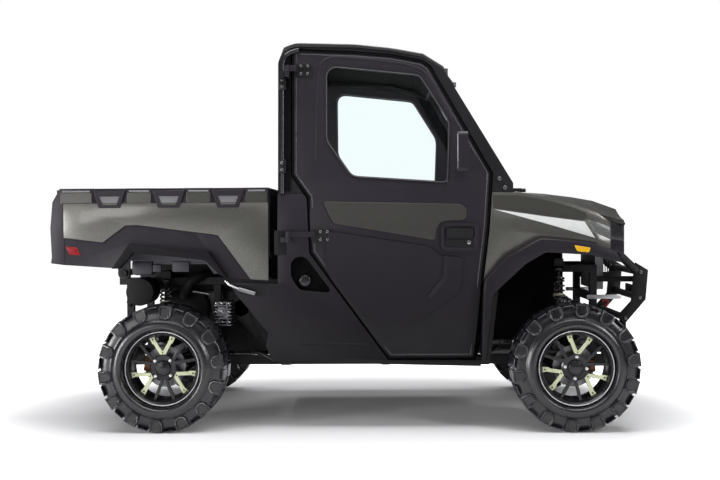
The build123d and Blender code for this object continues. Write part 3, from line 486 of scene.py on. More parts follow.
def grain_group():
    """Height of a moulded or cast grain: fine cells over a broader waviness."""
    tree, given, out = new_group("moulded_grain", {"Scale": 400.0, "Waviness": 0.3}, ["Height"])
    place = object_place(tree)
    cells = wire(tree, "TexVoronoi", {"Vector": place, "Scale": given["Scale"]},
        feature="SMOOTH_F1")
    waves = wire(tree, "TexNoise", {"Vector": place, "Scale": 14.0, "Detail": 3.0})
    broad = wire(tree, "Math", {0: waves.outputs["Fac"], 1: given["Waviness"]},
        operation="MULTIPLY")
    total = wire(tree, "Math", {0: cells.outputs["Distance"], 1: broad.outputs[0]})
    tree.links.new(total.outputs[0], out["Height"])
    return tree


def flake_group():
    """Metal flakes in paint: a small change of lightness from cell to cell."""
    tree, given, out = new_group(
        "paint_flake", {"Colour": MID_GREY, "Sparkle": PALE_GREY, "Scale": 900.0}, ["Colour"])
    cells = wire(tree, "TexVoronoi", {"Vector": object_place(tree), "Scale": given["Scale"]})
    grey = wire(tree, "SeparateColor", {"Color": cells.outputs["Color"]})
    mask = wire(tree, "Math", {0: grey.outputs["Red"], 1: 3.0}, operation="POWER")
    colour = blend_colours(tree, mask.outputs[0], given["Colour"], given["Sparkle"])
    tree.links.new(colour, out["Colour"])
    return tree


def wear_group():
    """Painted highlight, partly wear: edges a little lighter than the hollows beside them."""
    tree, given, out = new_group("edge_wear", {"Colour": MID_GREY, "Edge": PALE_GREY}, ["Colour"])
    sharp = wire(tree, "NewGeometry").outputs["Pointiness"]
    mask = wire(tree, "MapRange", {"Value": sharp, "From Min": 0.51, "From Max": 0.6})
    colour = blend_colours(tree, mask.outputs["Result"], given["Colour"], given["Edge"])
    tree.links.new(colour, out["Colour"])
    return tree


GROUPS = {}  # the shared effects by key


def shade_of(colour, factor):
    return tuple(min(1.0, c * factor) for c in colour[:3]) + (1,)


def plain_material(name, sockets):
    """A material with its shader's sockets set; an underscore stands for a space."""
    material = bpy.data.materials.new(name)
    material.use_nodes = True
    shader = material.node_tree.nodes["Principled BSDF"]
    for label, value in sockets.items():
        shader.inputs[label.replace("_", " ")].default_value = value
    return material, material.node_tree, shader


def finish(name, slot, colour, roughness, metallic=0.0, drift=0.85, scale=6.0, grain=0.0,
        grain_scale=400.0, flake=0.0, spread=0.08, low_painted_shade=1.0, wear=0.0, **sockets):
    """A material whose colour, roughness and surface change a little from place to place."""
    material, tree, shader = plain_material(name, {"Metallic": metallic, **sockets})
    material["slot"] = slot

    def effect(key, inputs):
        return wire(tree, "Group", inputs, node_tree=GROUPS[key]).outputs

    # the drift group also darkens the colour toward the ground: painted shade
    drifting = effect("drift", {
        "Colour": (*colour, 1), "Shade": shade_of(colour, drift), "Scale": scale,
        "Low Shade": low_painted_shade, "Smoothest": max(0.02, roughness - spread / 2),
        "Roughest": min(1.0, roughness + spread / 2)})
    tone = drifting["Colour"]
    if flake:
        tone = effect("flake", {"Colour": tone, "Sparkle": shade_of(colour, flake)})["Colour"]
    # edges get a painted highlight, partly wear
    if wear:
        tone = effect("wear", {"Colour": tone, "Edge": shade_of(colour, wear)})["Colour"]
    tree.links.new(tone, shader.inputs["Base Color"])
    tree.links.new(drifting["Roughness"], shader.inputs["Roughness"])
    if grain:
        height = effect("grain", {"Scale": grain_scale})["Height"]
        bump = wire(tree, "Bump", {"Strength": grain, "Distance": 0.0006, "Height": height})
        tree.links.new(bump.outputs["Normal"], shader.inputs["Normal"])
    return material


def clear_glass(name, slot, colour):
    """Thin glass: mostly see-through, with the gloss of its surface."""
    material = plain_material(name, {"Base_Color": (*colour, 1), "Roughness": 0.0,
        "Transmission_Weight": 1.0, "IOR": 1.05})[0]
    material["slot"] = slot
    return material


FINISHES = {}  # the finishes by key


def make_materials():
    """Fills FINISHES with every finish of the vehicle, from the user's main colours."""
    GROUPS.update(drift=drift_group(), grain=grain_group(), flake=flake_group(), wear=wear_group())
    paint, plastic = tuple(colours().paint), tuple(colours().plastic)
    FINISHES.update(
        # the paint gets painted shade that darkens it toward the ground
        paint=finish("body_paint", "paint", paint, 0.34, 0.55, 0.94, flake=1.9, spread=0.012,
            low_painted_shade=0.1, Coat_Weight=0.6, Coat_Roughness=0.12),
        # the plastic gets painted shade that darkens it toward the ground
        plastic=finish("black_moulded_plastic", "black_plastic", plastic, 0.42, grain=0.2,
            grain_scale=700, low_painted_shade=0.14, Specular_IOR_Level=0.22),
        # a darker copy of the black plastic: painted shade
        plastic_dark=finish("shaded_moulded_plastic", "black_plastic", shade_of(plastic, 0.35)[:3],
            0.55, grain=0.2, grain_scale=700, Specular_IOR_Level=0.14),
        roof=finish("roof_plastic", "roof_plastic", (0.022, 0.022, 0.0235), 0.5, grain=0.3,
            grain_scale=600),
        gasket=finish("window_rubber", "black_plastic", (0.01, 0.01, 0.011), 0.62, grain=0.1,
            Specular_IOR_Level=0.25),
        frame=finish("frame_powder_coat", "frame_paint", (0.011, 0.011, 0.0125), 0.42, grain=0.5,
            grain_scale=900, scale=20, Specular_IOR_Level=0.28),
        liner=finish("bed_liner", "bed_liner", (0.03, 0.03, 0.032), 0.66, grain=0.7,
            grain_scale=350, scale=12),
        vinyl=finish("seat_vinyl", "seat_vinyl", (0.032, 0.032, 0.034), 0.5, grain=0.6,
            grain_scale=500, scale=16),
        # the tyre's lug edges get a painted highlight, partly wear
        rubber=finish("tyre_rubber", "tyre", (0.005, 0.0044, 0.006), 0.29, 0, 0.7, scale=22,
            grain=0.15, grain_scale=260, spread=0.08, wear=6.0, Specular_IOR_Level=0.8),
        wheel=finish("wheel_gloss_black", "rim_black", (0.014, 0.014, 0.016), 0.28, 0.2, scale=30,
            Coat_Weight=0.3, Coat_Roughness=0.1),
        accent=finish("accent_champagne", "rim_black", tuple(colours().accent), 0.42, 0.1, 0.92,
            scale=40),
        pinstripe=finish("wheel_pinstripe", "rim_black", (0.72, 0.72, 0.76), 0.4, scale=50),
        chrome=finish("plated_steel", "steel", (0.62, 0.62, 0.64), 0.2, 1.0, 0.9, scale=40),
        steel=finish("machined_steel", "steel", (0.3, 0.3, 0.31), 0.36, 0.9, 0.7, scale=30,
            grain=0.2, grain_scale=500),
        rust=finish("heat_stained_iron", "steel", (0.22, 0.085, 0.03), 0.6, 0.4, 0.45, scale=60,
            grain=0.6, grain_scale=300),
        cast=finish("cast_aluminium", "cast", (0.3, 0.3, 0.31), 0.5, 0.85, 0.75, scale=25,
            grain=0.7, grain_scale=420),
        spring=finish("spring_coating", "spring", (0.022, 0.022, 0.024), 0.24, scale=50,
            Coat_Weight=0.5),
        collar=finish("spring_collar", "spring", (0.62, 0.58, 0.46), 0.5, scale=50),
        reflector=finish("lamp_reflector", "lamp_clear", (0.75, 0.77, 0.8), 0.12, 1.0, 0.9,
            scale=60),
        lamp_dark=finish("smoked_lamp_cover", "lamp_clear", (0.022, 0.022, 0.024), 0.28, scale=40,
            Coat_Weight=0.3),
        black=finish("satin_black_steel", "frame_paint", (0.006, 0.006, 0.007), 0.5, grain=0.4,
            grain_scale=900, scale=20, Specular_IOR_Level=0.22),
        red=finish("red_lens", "lamp_red", (0.26, 0.007, 0.012), 0.34, scale=60,
            Specular_IOR_Level=0.25),
        amber=finish("amber_lens", "lamp_red", (0.8, 0.45, 0.015), 0.16, scale=60,
            Coat_Weight=0.5),
        stripe=finish("stripe_silver", "paint", (0.74, 0.75, 0.74), 0.4, 0.1, 0.92, scale=30),
        bar=finish("bright_arm", "frame_paint", (0.55, 0.56, 0.58), 0.38, 0.6, 0.85, scale=40),
        glass=clear_glass("cab_glass", "glass", (0.94, 0.99, 0.99)),
        tube=finish("pillar_tube_satin", "frame_paint", (0.05, 0.05, 0.055), 0.22, 0.7, 0.85,
            scale=30),
        # a near-black matte: linings, and painted shade in the cab, the wheel wells, recesses and
        # gaps
        lining=finish("cab_lining", "black_plastic", (0.0045, 0.0045, 0.005), 0.9, grain=0.4,
            Specular_IOR_Level=0.04),
        # a light grey: painted highlight along the window openings
        trim=finish("window_trim", "black_plastic", (0.1, 0.1, 0.105), 0.3, scale=50),
        # a lighter, glossier plastic: painted highlight along the doors' edges
        lip=finish("door_lip_plastic", "black_plastic", (0.03, 0.028, 0.034), 0.3, scale=20,
            Specular_IOR_Level=0.6),
        bolt=finish("black_bolts", "steel", (0.16, 0.16, 0.165), 0.26, 0.7, scale=60),
        nut=finish("wheel_nut_zinc", "steel", (0.82, 0.82, 0.84), 0.3, 0.35, scale=60),
        # a darker copy of the body paint: painted shade on the fenders' upper faces
        paint_upper=finish("body_paint_upper_sheen", "paint", tuple(c * 0.55 for c in paint), 0.4,
            0.5, 0.9, flake=1.7, Coat_Weight=0.3, Coat_Roughness=0.2),
        hood=finish("hood_paint", "paint", tuple(c * 0.5 for c in paint), 0.36, 0.5, 0.9,
            flake=1.8, Coat_Weight=0.4, Coat_Roughness=0.15),
        # a darker copy of the body paint: painted shade on the door insets and the bed's upper
        # bands
        paint_dark=finish("body_paint_lower_sheen", "paint", tuple(c * 0.52 for c in paint), 0.42,
            0.5, 0.9, flake=1.6, Coat_Weight=0.3, Coat_Roughness=0.2),
        # a light grey plastic: painted highlight on the bed rails and in the pockets
        rail=finish("bright_rail_plastic", "black_plastic", (0.16, 0.16, 0.165), 0.4, grain=0.1),
        bluish=finish("under_bed_plastic", "bed_liner", (0.038, 0.038, 0.05), 0.5, grain=0.3),
        dark_cast=finish("dark_cast_iron", "cast", (0.03, 0.03, 0.032), 0.45, 0.6, 0.75, scale=25,
            grain=0.7, grain_scale=420),
        cast_dark=finish("damper_metal", "spring", (0.06, 0.06, 0.065), 0.35, 0.8, scale=50),
        lamp=finish("lamp_cover", "lamp_clear", (0.12, 0.123, 0.124), 0.3, scale=40,
            Coat_Weight=0.2, Coat_Roughness=0.2),
        tow=finish("tow_hook_red", "steel", (0.35, 0.012, 0.02), 0.4, scale=50),
        mirror=finish("mirror_glass", "black_plastic", (0.8, 0.82, 0.84), 0.04, 1.0, 0.97),)


CAD_FINISHES = {  # finish: the solids that keep their own shape
    "frame": ["frame_rails", "frame_cross_members", "hitch_receiver", "control_arms",
              "cab_frame"],
    "cast": ["radiator", "drivetrain", "knuckle_right", "knuckle_left", "rear_knuckles"],
    "steel": ["halfshafts", "tie_rods"],
    "plastic": ["floor_pan", "seat_base", "rear_wall"],
}


# ---------------------------------------------------------------- settings
def colour_setting(name, description, default):
    return bpy.props.FloatVectorProperty(name=name, description=description, default=default,
        subtype="COLOR", size=3, min=0.0, max=1.0)


class VehicleColours(bpy.types.PropertyGroup):
    """Main colours of the vehicle."""
    paint: colour_setting("Body paint", "Metallic colour of the painted panels",
        (0.098, 0.096, 0.086))
    plastic: colour_setting("Plastic", "Colour of the black moulded parts",
        (0.0225, 0.0186, 0.0258))
    accent: colour_setting("Wheel accents", "Colour of the bright plates on the wheels",
        (0.66, 0.7, 0.46))


class VehicleSizes(bpy.types.PropertyGroup):
    """Sizes of the details that are added to the solids."""
    lug_height: bpy.props.FloatProperty(name="Lug height", default=0.0068, min=0.004, max=0.02,
        description="How far the tyre lugs stand off the carcass", subtype="DISTANCE",
        unit="LENGTH")
    pad_swell: bpy.props.FloatProperty(name="Seat swell", default=0.02, min=0.005, max=0.03,
        description="How far a seat cushion's skin may swell", subtype="DISTANCE", unit="LENGTH")


def colours():
    return bpy.context.scene.vehicle_colours


def sizes():
    return bpy.context.scene.vehicle_sizes


class PieceOperator:
    """Shared behaviour: build, then report that the piece is there."""
    bl_options = {"REGISTER", "UNDO"}

    def execute(self, context):
        self.build()
        return {"FINISHED"}


# ---------------------------------------------------------------- stage
IMAGE_WIDTH = 720
FOCAL_PIXELS = 1096.7
SENSOR_WIDTH = 36.0
CAMERA_PLACE = (0.1412, -6.4061, 1.0988)  # its angles below are radians
CAMERA_YAW = -0.0219
CAMERA_PITCH = 0.0186  # downward
CAMERA_ROLL = -0.0059


def add_camera():
    clear()
    bpy.ops.object.camera_add(location=CAMERA_PLACE)
    camera = bpy.context.object
    forward = Vector((math.sin(CAMERA_YAW) * math.cos(CAMERA_PITCH),
        math.cos(CAMERA_YAW) * math.cos(CAMERA_PITCH), -math.sin(CAMERA_PITCH)))
    level = Vector((math.cos(CAMERA_YAW), -math.sin(CAMERA_YAW), 0))
    upright = level.cross(forward)
    right = level * math.cos(CAMERA_ROLL) + upright * math.sin(CAMERA_ROLL)
    up = upright * math.cos(CAMERA_ROLL) - level * math.sin(CAMERA_ROLL)
    turn = Matrix((right, up, -forward)).transposed().to_4x4()
    camera.matrix_world = Matrix.Translation(CAMERA_PLACE) @ turn
    camera.data.sensor_fit = "HORIZONTAL"
    camera.data.sensor_width = SENSOR_WIDTH
    camera.data.lens = FOCAL_PIXELS / IMAGE_WIDTH * SENSOR_WIDTH
    camera.data.dof.use_dof = False
    bpy.context.scene.camera = camera


def add_lamp(place, target, width, height, power):
    """A soft rectangular lamp that faces a target."""
    clear()
    bpy.ops.object.light_add(type="AREA", location=place)
    lamp = bpy.context.object
    lamp.data.shape = "RECTANGLE"
    lamp.data.size, lamp.data.size_y, lamp.data.energy = width, height, power
    lamp.rotation_euler = (Vector(target) - Vector(place)).to_track_quat("-Z", "Y").to_euler()


def seen_directly(tree):
    """1 for rays from the camera or through glass, for a background that shows white."""
    path = wire(tree, "LightPath").outputs
    return wire(tree, "Math", {0: path["Is Camera Ray"], 1: path["Is Transmission Ray"]},
        operation="MAXIMUM").outputs[0]


def add_surroundings():
    """Dim light from all sides, and white where it is seen directly."""
    world = bpy.data.worlds.new("studio")
    bpy.context.scene.world = world
    world.use_nodes = True
    tree = world.node_tree
    light = tree.nodes["Background"]
    light.inputs["Color"].default_value = (0.9, 0.92, 1.0, 1)
    light.inputs["Strength"].default_value = 0.07
    white = wire(tree, "Background", {"Color": (1, 1, 1, 1), "Strength": 1.0})
    mix = wire(tree, "MixShader", {"Fac": seen_directly(tree), 1: light.outputs[0],
        2: white.outputs[0]})
    tree.links.new(mix.outputs[0], tree.nodes["World Output"].inputs["Surface"])


def add_floor():
    """A pale floor that keeps the shadow near the vehicle and fades to white around it."""
    clear()
    bpy.ops.mesh.primitive_plane_add(size=60)
    floor = named(bpy.context.object, "studio_floor")
    material, tree, shader = plain_material("pale_floor", {
        "Base_Color": (0.86, 0.86, 0.87, 1), "Roughness": 0.55, "Specular_IOR_Level": 0.15,
        "Emission_Color": (1, 1, 1, 1)})
    spread = wire(tree, "Mapping", {"Vector": object_place(tree), "Scale": (0.36, 0.52, 0.0),
        "Location": (0.0, 0.1, 0.0)})
    reach = wire(tree, "VectorMath", {0: spread.outputs[0]}, operation="LENGTH")
    fade = wire(tree, "MapRange", {"Value": reach.outputs["Value"], "From Min": 0.6,
        "From Max": 1.05, "To Min": 0.06, "To Max": 1.0}, interpolation_type="SMOOTHSTEP")
    glow = wire(tree, "Math", {0: seen_directly(tree), 1: fade.outputs[0]},
        operation="MULTIPLY")
    tree.links.new(glow.outputs[0], shader.inputs["Emission Strength"])
    floor.data.materials.append(material)


LAMPS = [  # place, target, width, height, watts
    ((0.0, -0.4, 4.8), (0, 0, 0.0), 6.0, 4.2, 420),
    ((-4.4, -3.6, 1.0), (-0.6, -0.7, 0.7), 0.9, 1.8, 110),
    ((4.4, -3.8, 2.9), (0.5, -0.7, 0.9), 0.9, 2.4, 95),
    ((0.3, -6.8, 3.6), (0, 0, 0.9), 3.0, 1.4, 14),
    ((0.0, 4.4, 4.6), (0, 0, 1.0), 4.0, 1.2, 70),
    ((-2.6, -4.5, 1.5), (-1.2, -0.7, 1.1), 1.2, 1.5, 22)]


def make_stage():
    bpy.context.scene.view_settings.view_transform = "Standard"
    add_surroundings()
    add_floor()
    for lamp in LAMPS:
        add_lamp(*lamp)
    add_camera()


class StageOperator(PieceOperator, bpy.types.Operator):
    """Floor, pale surroundings, soft lamps and the camera"""
    bl_idname = "vehicle.stage"
    bl_label = "Stage"
    build = staticmethod(make_stage)


# ---------------------------------------------------------------- wheels
RIM_LIP = 0.196
LUGS = 14  # shoulder lugs on each side of a tyre
SPOKE_FACE = 0.056  # outer face of the spokes, out from the wheel's middle
TYRE_BEAD = [(0.0805, 0.1786), (0.0825, 0.1974), (0.089, 0.2005)]  # outward, radius
TYRE_WALL = [(0.018, 0.204), (0.006, 0.21), (0.0015, 0.2165), (0, 0.2225), (0.0015, 0.2336),
    (0.0042, 0.241), (0.0081, 0.2478), (0.0132, 0.2538), (0.018, 0.261), (0.0195, 0.27),
    (0.021, 0.285), (0.026, 0.302)]  # inward from the tyre's side, radius
ACCENT_TURNS = (0, 120, 240)
BOLT_ANGLE = 18.3  # the outer accent bolts, to each side of an accent's middle
NUT_TURNS = (45, 135, 225, 315)
TYRE_TURN = 5  # degrees that the tread stands turned at rest
WHEEL_TURNS = {"front": 8, "rear": -1.5}
NUT_SHIFT = {"front": -48, "rear": 0}  # further turn of the nuts
CALIPER_TURNS = {"front": 84, "rear": -80}


def horseshoe(width, top, low):
    """A U-shaped (x, z) outline, open end up."""
    half = width / 2
    points = [(-half, top), (half, top), (half * 0.98, low + half * 0.9)]
    for i in range(1, 8):
        angle = math.radians(i * 22.5)
        points.append((math.cos(angle) * half * 0.95, low + half * (1 - math.sin(angle)) * 0.9))
    points.append((-half * 0.98, low + half * 0.9))
    return points


def lug_form(half):
    """One shoulder lug at the top of a tyre, centred on X = 0, outward toward -Y."""
    top = TYRE_RADIUS
    lug = outline("lug", [(x, -half + 0.02, z) for x, z in horseshoe(0.068, top, top - 0.07)])
    push(lug, (0, 0.09, 0))
    pick(lug, "FACE", lambda face: face.normal.y < -0.9)
    bpy.ops.mesh.extrude_region_move(TRANSFORM_OT_translate={"value": (0, -0.02, 0)})
    sink(0.008, 0.003, (0, 0.008, 0))
    for vert in lug.data.vertices:
        drop = top - vert.co.z
        if vert.co.y < -half + 0.019:
            lean = max(0.0, 0.035 - drop) * 0.42
            vert.co.y += lean + max(0.0, drop - 0.035) * 0.34
        vert.co.z -= (vert.co.x ** 2) / (2 * top)
    return soften(done(lug), 0.0022, 2, 40)


def bar_form(half, height):
    """A tread bar between two lugs, from the shoulder toward the middle."""
    top, low = TYRE_RADIUS, TYRE_RADIUS - height - 0.004
    shape = [(-0.026, -half + 0.012), (0.026, -half + 0.01), (0.034, -half + 0.06),
        (0.014, -0.006), (-0.016, -0.004), (-0.024, -half + 0.064)]
    bar = push(outline("bar", [(x, y, low) for x, y in shape]), (0, 0, top - low - 0.001))
    for vert in bar.data.vertices:
        if vert.co.y < -half + 0.02 and vert.co.z > low + 0.005:
            vert.co.z -= 0.004
            vert.co.y += 0.004
    return soften(bar, 0.0025, 2, 40)


def tyre_form(name, half):
    """A tyre about the origin, outboard toward -Y."""
    height = sizes().lug_height
    tread = TYRE_RADIUS - height
    wall = TYRE_BEAD + [(half - depth, radius) for depth, radius in (*TYRE_WALL,
        (0.036, tread - 0.006), (0.058, tread), (0.09, tread + 0.001))]
    profile = wall + [(-outward, radius) for outward, radius in reversed(wall)]
    parts = [lathe("carcass", profile, (0, 0, 0), 112)]
    ridge = [(half - 0.016, 0.255), (half - 0.0125, 0.257), (half - 0.0145, 0.26),
        (half - 0.019, 0.262)]
    parts.append(lathe("ridge", ridge, (0, 0, 0), 112))
    for form, shift in ((lug_form(half), 0.0), (bar_form(half, height), 0.5)):
        inner = turned(form, "inner_form", 180, axis="Z")
        turns = [(i + shift) * 360 / LUGS for i in range(LUGS)]
        parts += around(form, turns)
        parts += around(inner, [turn + 180 / LUGS for turn in turns])
    return joined(name, parts)


def arm_form(name, back, face, foot_width, tip_width, foot_z, tip_radius, degrees, foot_x):
    """A tapered spoke from near the hub's top outward, between two distances along the axle."""
    end = math.radians(degrees)
    foot = Vector((foot_x, 0, foot_z))
    tip = Vector((math.sin(end) * tip_radius, 0, math.cos(end) * tip_radius))
    along = (tip - foot).normalized()
    side = Vector((along.z, 0, -along.x))
    corners = [foot - side * foot_width / 2, foot + side * foot_width / 2,
        tip + side * tip_width / 2, tip - side * tip_width / 2]
    piece = outline(name, [(corner.x, -back, corner.z) for corner in corners])
    return soften(push(piece, (0, back - face, 0)), 0.002)


def hub_drum(name, outward, place, radius, length, sides, width):
    """A drum along the axle at an (x, z) place, its middle this far outside the spokes."""
    x, z = place
    return drum(name, (x, -SPOKE_FACE - outward, z), radius, length, sides=sides, width=width)


def wheel_forms():
    """Rim, accents and brake about the origin, outboard toward -Y, as (finish, piece)."""
    lip, edge = 0.09, RIM_LIP - 0.0005
    barrel = lathe("barrel", [(lip, edge), (lip + 0.0002, 0.187), (lip - 0.006, 0.181),
        (lip - 0.016, 0.1745), (0.03, 0.168), (-0.03, 0.16), (-lip + 0.012, 0.17), (-lip, 0.182),
        (-lip, edge), (-lip + 0.007, edge), (-lip + 0.008, 0.178), (-0.04, 0.1775), (0.04, 0.1775),
        (lip - 0.008, 0.178), (lip - 0.007, edge)], (0, 0, 0), 96)
    stripe = lathe("pinstripe", [(lip - 0.002, 0.1935), (lip + 0.0012, 0.1935),
        (lip + 0.0012, 0.1895), (lip - 0.002, 0.1895)], (0, 0, 0), 96)
    hub = lathe("hub", [(0.0, 0.024), (SPOKE_FACE + 0.002, 0.024), (SPOKE_FACE + 0.001, 0.038),
        (SPOKE_FACE - 0.004, 0.042), (SPOKE_FACE - 0.003, 0.064), (SPOKE_FACE - 0.008, 0.071),
        (SPOKE_FACE - 0.026, 0.071), (SPOKE_FACE - 0.03, 0.06), (0.0, 0.05)], (0, 0, 0), 64)
    black = [barrel, hub, hub_drum("cap", 0.004, (0, 0), 0.036, 0.022, 48, 0.005),
        hub_drum("cap_step", 0.012, (0, 0), 0.025, 0.018, 48, 0.003)]
    bright, bolts = [], []
    for sign in (-1, 1):
        black += around(arm_form("arm", SPOKE_FACE - 0.022, SPOKE_FACE - 0.003, 0.017, 0.016,
            0.062, 0.1755, sign * 17, sign * 0.008), range(0, 360, 60))
        bright += around(arm_form("pad", SPOKE_FACE - 0.004, SPOKE_FACE + 0.0015, 0.019, 0.031,
            0.128, 0.17, sign * 18.5, sign * 0.0424), ACCENT_TURNS)
        bright += around(arm_form("accent", SPOKE_FACE - 0.004, SPOKE_FACE + 0.001, 0.019, 0.02,
            0.078, 0.162, sign * 18.5, sign * 0.008), ACCENT_TURNS)
        tip = math.radians(sign * BOLT_ANGLE)
        place = (math.sin(tip) * 0.158, math.cos(tip) * 0.158)
        bolts += around(hub_drum("bolt", 0.0015, place, 0.0042, 0.004, 12, 0.0006), ACCENT_TURNS)
    apex = [(-0.017, 0.071), (0.017, 0.071), (0.012, 0.09), (-0.012, 0.09)]
    bright += around(plate("apex", apex, -SPOKE_FACE + 0.004, -SPOKE_FACE - 0.0012, 0.0015),
        ACCENT_TURNS)
    bolts += around(hub_drum("bolt", 0.0015, (0, 0.08), 0.0036, 0.004, 12, 0.0006), ACCENT_TURNS)
    nuts = around(hub_drum("nut", 0.008, (0, 0.056), 0.0085, 0.022, 6, 0.002), NUT_TURNS)
    disc = lathe("disc", [(-0.004, 0.108), (-0.009, 0.108), (-0.009, 0.04), (-0.004, 0.04)],
        (0, 0, 0), 64)
    sleeve = drum("sleeve", (0, 0, 0), 0.04, 0.03)
    return [("wheel", joined("wheel_rim", black)), ("pinstripe", stripe),
        ("accent", joined("wheel_accents", bright)), ("gasket", joined("wheel_bolts", bolts)),
        ("nut", joined("wheel_nuts", nuts)), ("steel", joined("brake_disc", [disc, sleeve]))]


def make_wheels():
    forms = wheel_forms()
    for end in ("front", "rear"):
        low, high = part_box(f"tyre_{end}_right")
        place = Matrix.Translation(((low[0] + high[0]) / 2, (low[1] + high[1]) / 2, AXLE_Z))

        def set_in(piece, degrees):
            piece.data.transform(place @ Matrix.Rotation(math.radians(degrees), 4, "Y"))
            return piece

        tyre = tyre_form(f"tyre_body_{end}", (high[1] - low[1]) / 2)
        both("rubber", set_in(tyre, TYRE_TURN), f"wheel_{end}_{{}}", f"tyre_{end}_{{}}")
        for key, form in forms:
            turn = WHEEL_TURNS[end] + (NUT_SHIFT[end] if key == "nut" else 0)
            piece = set_in(spare(form, f"{form.name}_{end}"), turn)
            both(key, piece, f"wheel_{end}_{{}}", *[f"rim_{end}_{{}}"] * (key == "wheel"))
        caliper = block(f"caliper_{end}", (-0.042, -0.004, 0.072), (0.042, 0.03, 0.112), 0.008)
        pad = block("pad", (-0.026, -0.02, 0.07), (0.03, 0.0, 0.108), 0.006)
        caliper = set_in(joined(f"caliper_{end}", [caliper, pad]), CALIPER_TURNS[end])
        both("rust", caliper, "knuckle_{}" if end == "front" else "chassis")
    for _, form in forms:
        bpy.data.objects.remove(form)


class WheelsOperator(PieceOperator, bpy.types.Operator):
    """Tyres with shoulder lugs, spoked wheels with accents, brake discs and calipers"""
    bl_idname = "vehicle.wheels"
    bl_label = "Wheels"
    build = staticmethod(make_wheels)


# ---------------------------------------------------------------- pieces laid on a surface
OUTSIDE_Y = -1.3  # outlines start here and are projected inward
ARC_STEPS = 4  # straight steps in a rounded corner


def laid(name, points, node, lift=0.003, thickness=0.006, width=0.0015, cell=0.035):
    """An (x, z) outline laid on the right-hand face of a solid, this far outside it."""
    piece = outline(name, [(x, OUTSIDE_Y, z) for x, z in points])
    for axis, values in ((0, [x for x, _ in points]), (2, [z for _, z in points])):
        normal = [float(k == axis) for k in range(3)]
        for i in range(1, int((max(values) - min(values)) / cell) + 1):
            pick_all(piece)
            bpy.ops.mesh.bisect(plane_co=[n * (min(values) + i * cell) for n in normal],
                plane_no=normal)
    clear()
    modify(piece, "SHRINKWRAP", wrap_method="PROJECT", use_project_x=False, use_project_y=True,
        use_project_z=False, use_positive_direction=True, use_negative_direction=False,
        target=frame["nodes"][node])
    for vert in piece.data.vertices:
        vert.co.y += thickness - lift
    push(piece, (0, -thickness, 0))
    return soften(piece, width, 2, 50) if width else piece


def loop_tube(name, points, radius):
    """A round bar that closes on itself."""
    return tube(name, list(points) + [points[0], points[1]], radius)


def bolt_heads(name, spots, radius, height):
    """Domed bolt heads at the given places."""
    heads = [drum("head", spot, radius, height, "Y", 12, radius * 0.3) for spot in spots]
    return joined(name, heads)


def round_corners(points, radius):
    """The outline with each corner replaced by an arc."""
    result = []
    count = len(points)
    for i, corner in enumerate(points):
        before, here, after = (Vector(points[i - 1]), Vector(corner),
            Vector(points[(i + 1) % count]))
        a = here + (before - here).normalized() * min(radius, (before - here).length / 2.2)
        b = here + (after - here).normalized() * min(radius, (after - here).length / 2.2)
        for k in range(ARC_STEPS + 1):
            t = k / ARC_STEPS
            point = a * (1 - t) ** 2 + here * 2 * t * (1 - t) + b * t * t
            result.append(tuple(point))
    return result


def inward(points, distance):
    """A counterclockwise outline moved inward by a distance, its corners mitred."""
    result = []
    for i, corner in enumerate(points):
        here = Vector(corner)
        a = (here - Vector(points[i - 1])).normalized()
        b = (Vector(points[(i + 1) % len(points)]) - here).normalized()
        side = Vector((-a.y - b.y, a.x + b.x)).normalized()
        reach = distance / max(0.4, side.dot(Vector((-a.y, a.x))))
        result.append(tuple(here + side * reach))
    return result


def rectangle(x0, z0, x1, z1):
    return [(x0, z0), (x1, z0), (x1, z1), (x0, z1)]


# ---------------------------------------------------------------- doors
DOOR_WINDOW = [(rear(0.859), ROOF_Z - 0.162), (rear(0.859), BELT_Z + 0.278),
    (rear(0.991), BELT_Z + 0.088), (front(-0.652), BELT_Z + 0.054),
    (front(-0.641), ROOF_Z - 0.423), (front(-0.791), ROOF_Z - 0.185),
    (front(-0.817), ROOF_Z - 0.177), (rear(0.894), ROOF_Z - 0.131)]
DOOR_EDGE = [(rear(0.684), ROOF_Z - 0.045), (rear(0.684), BELT_Z + 0.1),
    (rear(0.767), BELT_Z - 0.02), (rear(0.78), BELT_Z - 0.305), (rear(1.181), SILL_Z),
    (front(-0.521), SILL_Z), (front(-0.476), SILL_Z + 0.444), (front(-0.447), BELT_Z - 0.176),
    (front(-0.428), BELT_Z + 0.101), (front(-0.743), ROOF_Z - 0.136),
    (front(-0.783), ROOF_Z - 0.108), (front(-0.934), ROOF_Z - 0.078),
    (front(-1.127), ROOF_Z - 0.06)]
PAINTED_INSET = [(-0.184, 1.195), (0.543, 1.178), (0.574, 1.154), (0.571, 1.096), (0.452, 1.09),
    (0.424, 1.072), (0.412, 1.044), (0.407, 0.988), (-0.128, 1.079)]
HANDLE = (0.436, 0.932, 0.63, 1.078)
LOWER_FIELD = [(0.552, 0.9), (0.533, 0.722), (0.263, 0.532), (0.15, 0.47), (-0.04, 0.69),
    (-0.168, 0.86), (-0.15, 1.04), (0.39, 0.955), (0.42, 0.91)]
LOWER_CREASE = [(0.474, 0.912), (0.468, 0.788), (0.385, 0.68), (0.362, 0.7), (0.444, 0.8),
    (0.45, 0.905)]
WINDOW_CREASE = [(-0.213, 1.408), (-0.21, 1.529), (-0.209, 1.717), (-0.199, 1.88), (-0.178, 1.928),
    (-0.135, 1.952), (-0.049, 1.949), (0.086, 1.935), (0.22, 1.919), (0.334, 1.891), (0.39, 1.836),
    (0.443, 1.739), (0.506, 1.617)]


def skin_point(x, z, lift=0.0):
    return (x, -skin_half(z) - lift, z)


def on_skin(points, lift):
    """(x, z) points brought onto the cab's right-hand side, this far outside it."""
    return [skin_point(x, z, lift) for x, z in points]


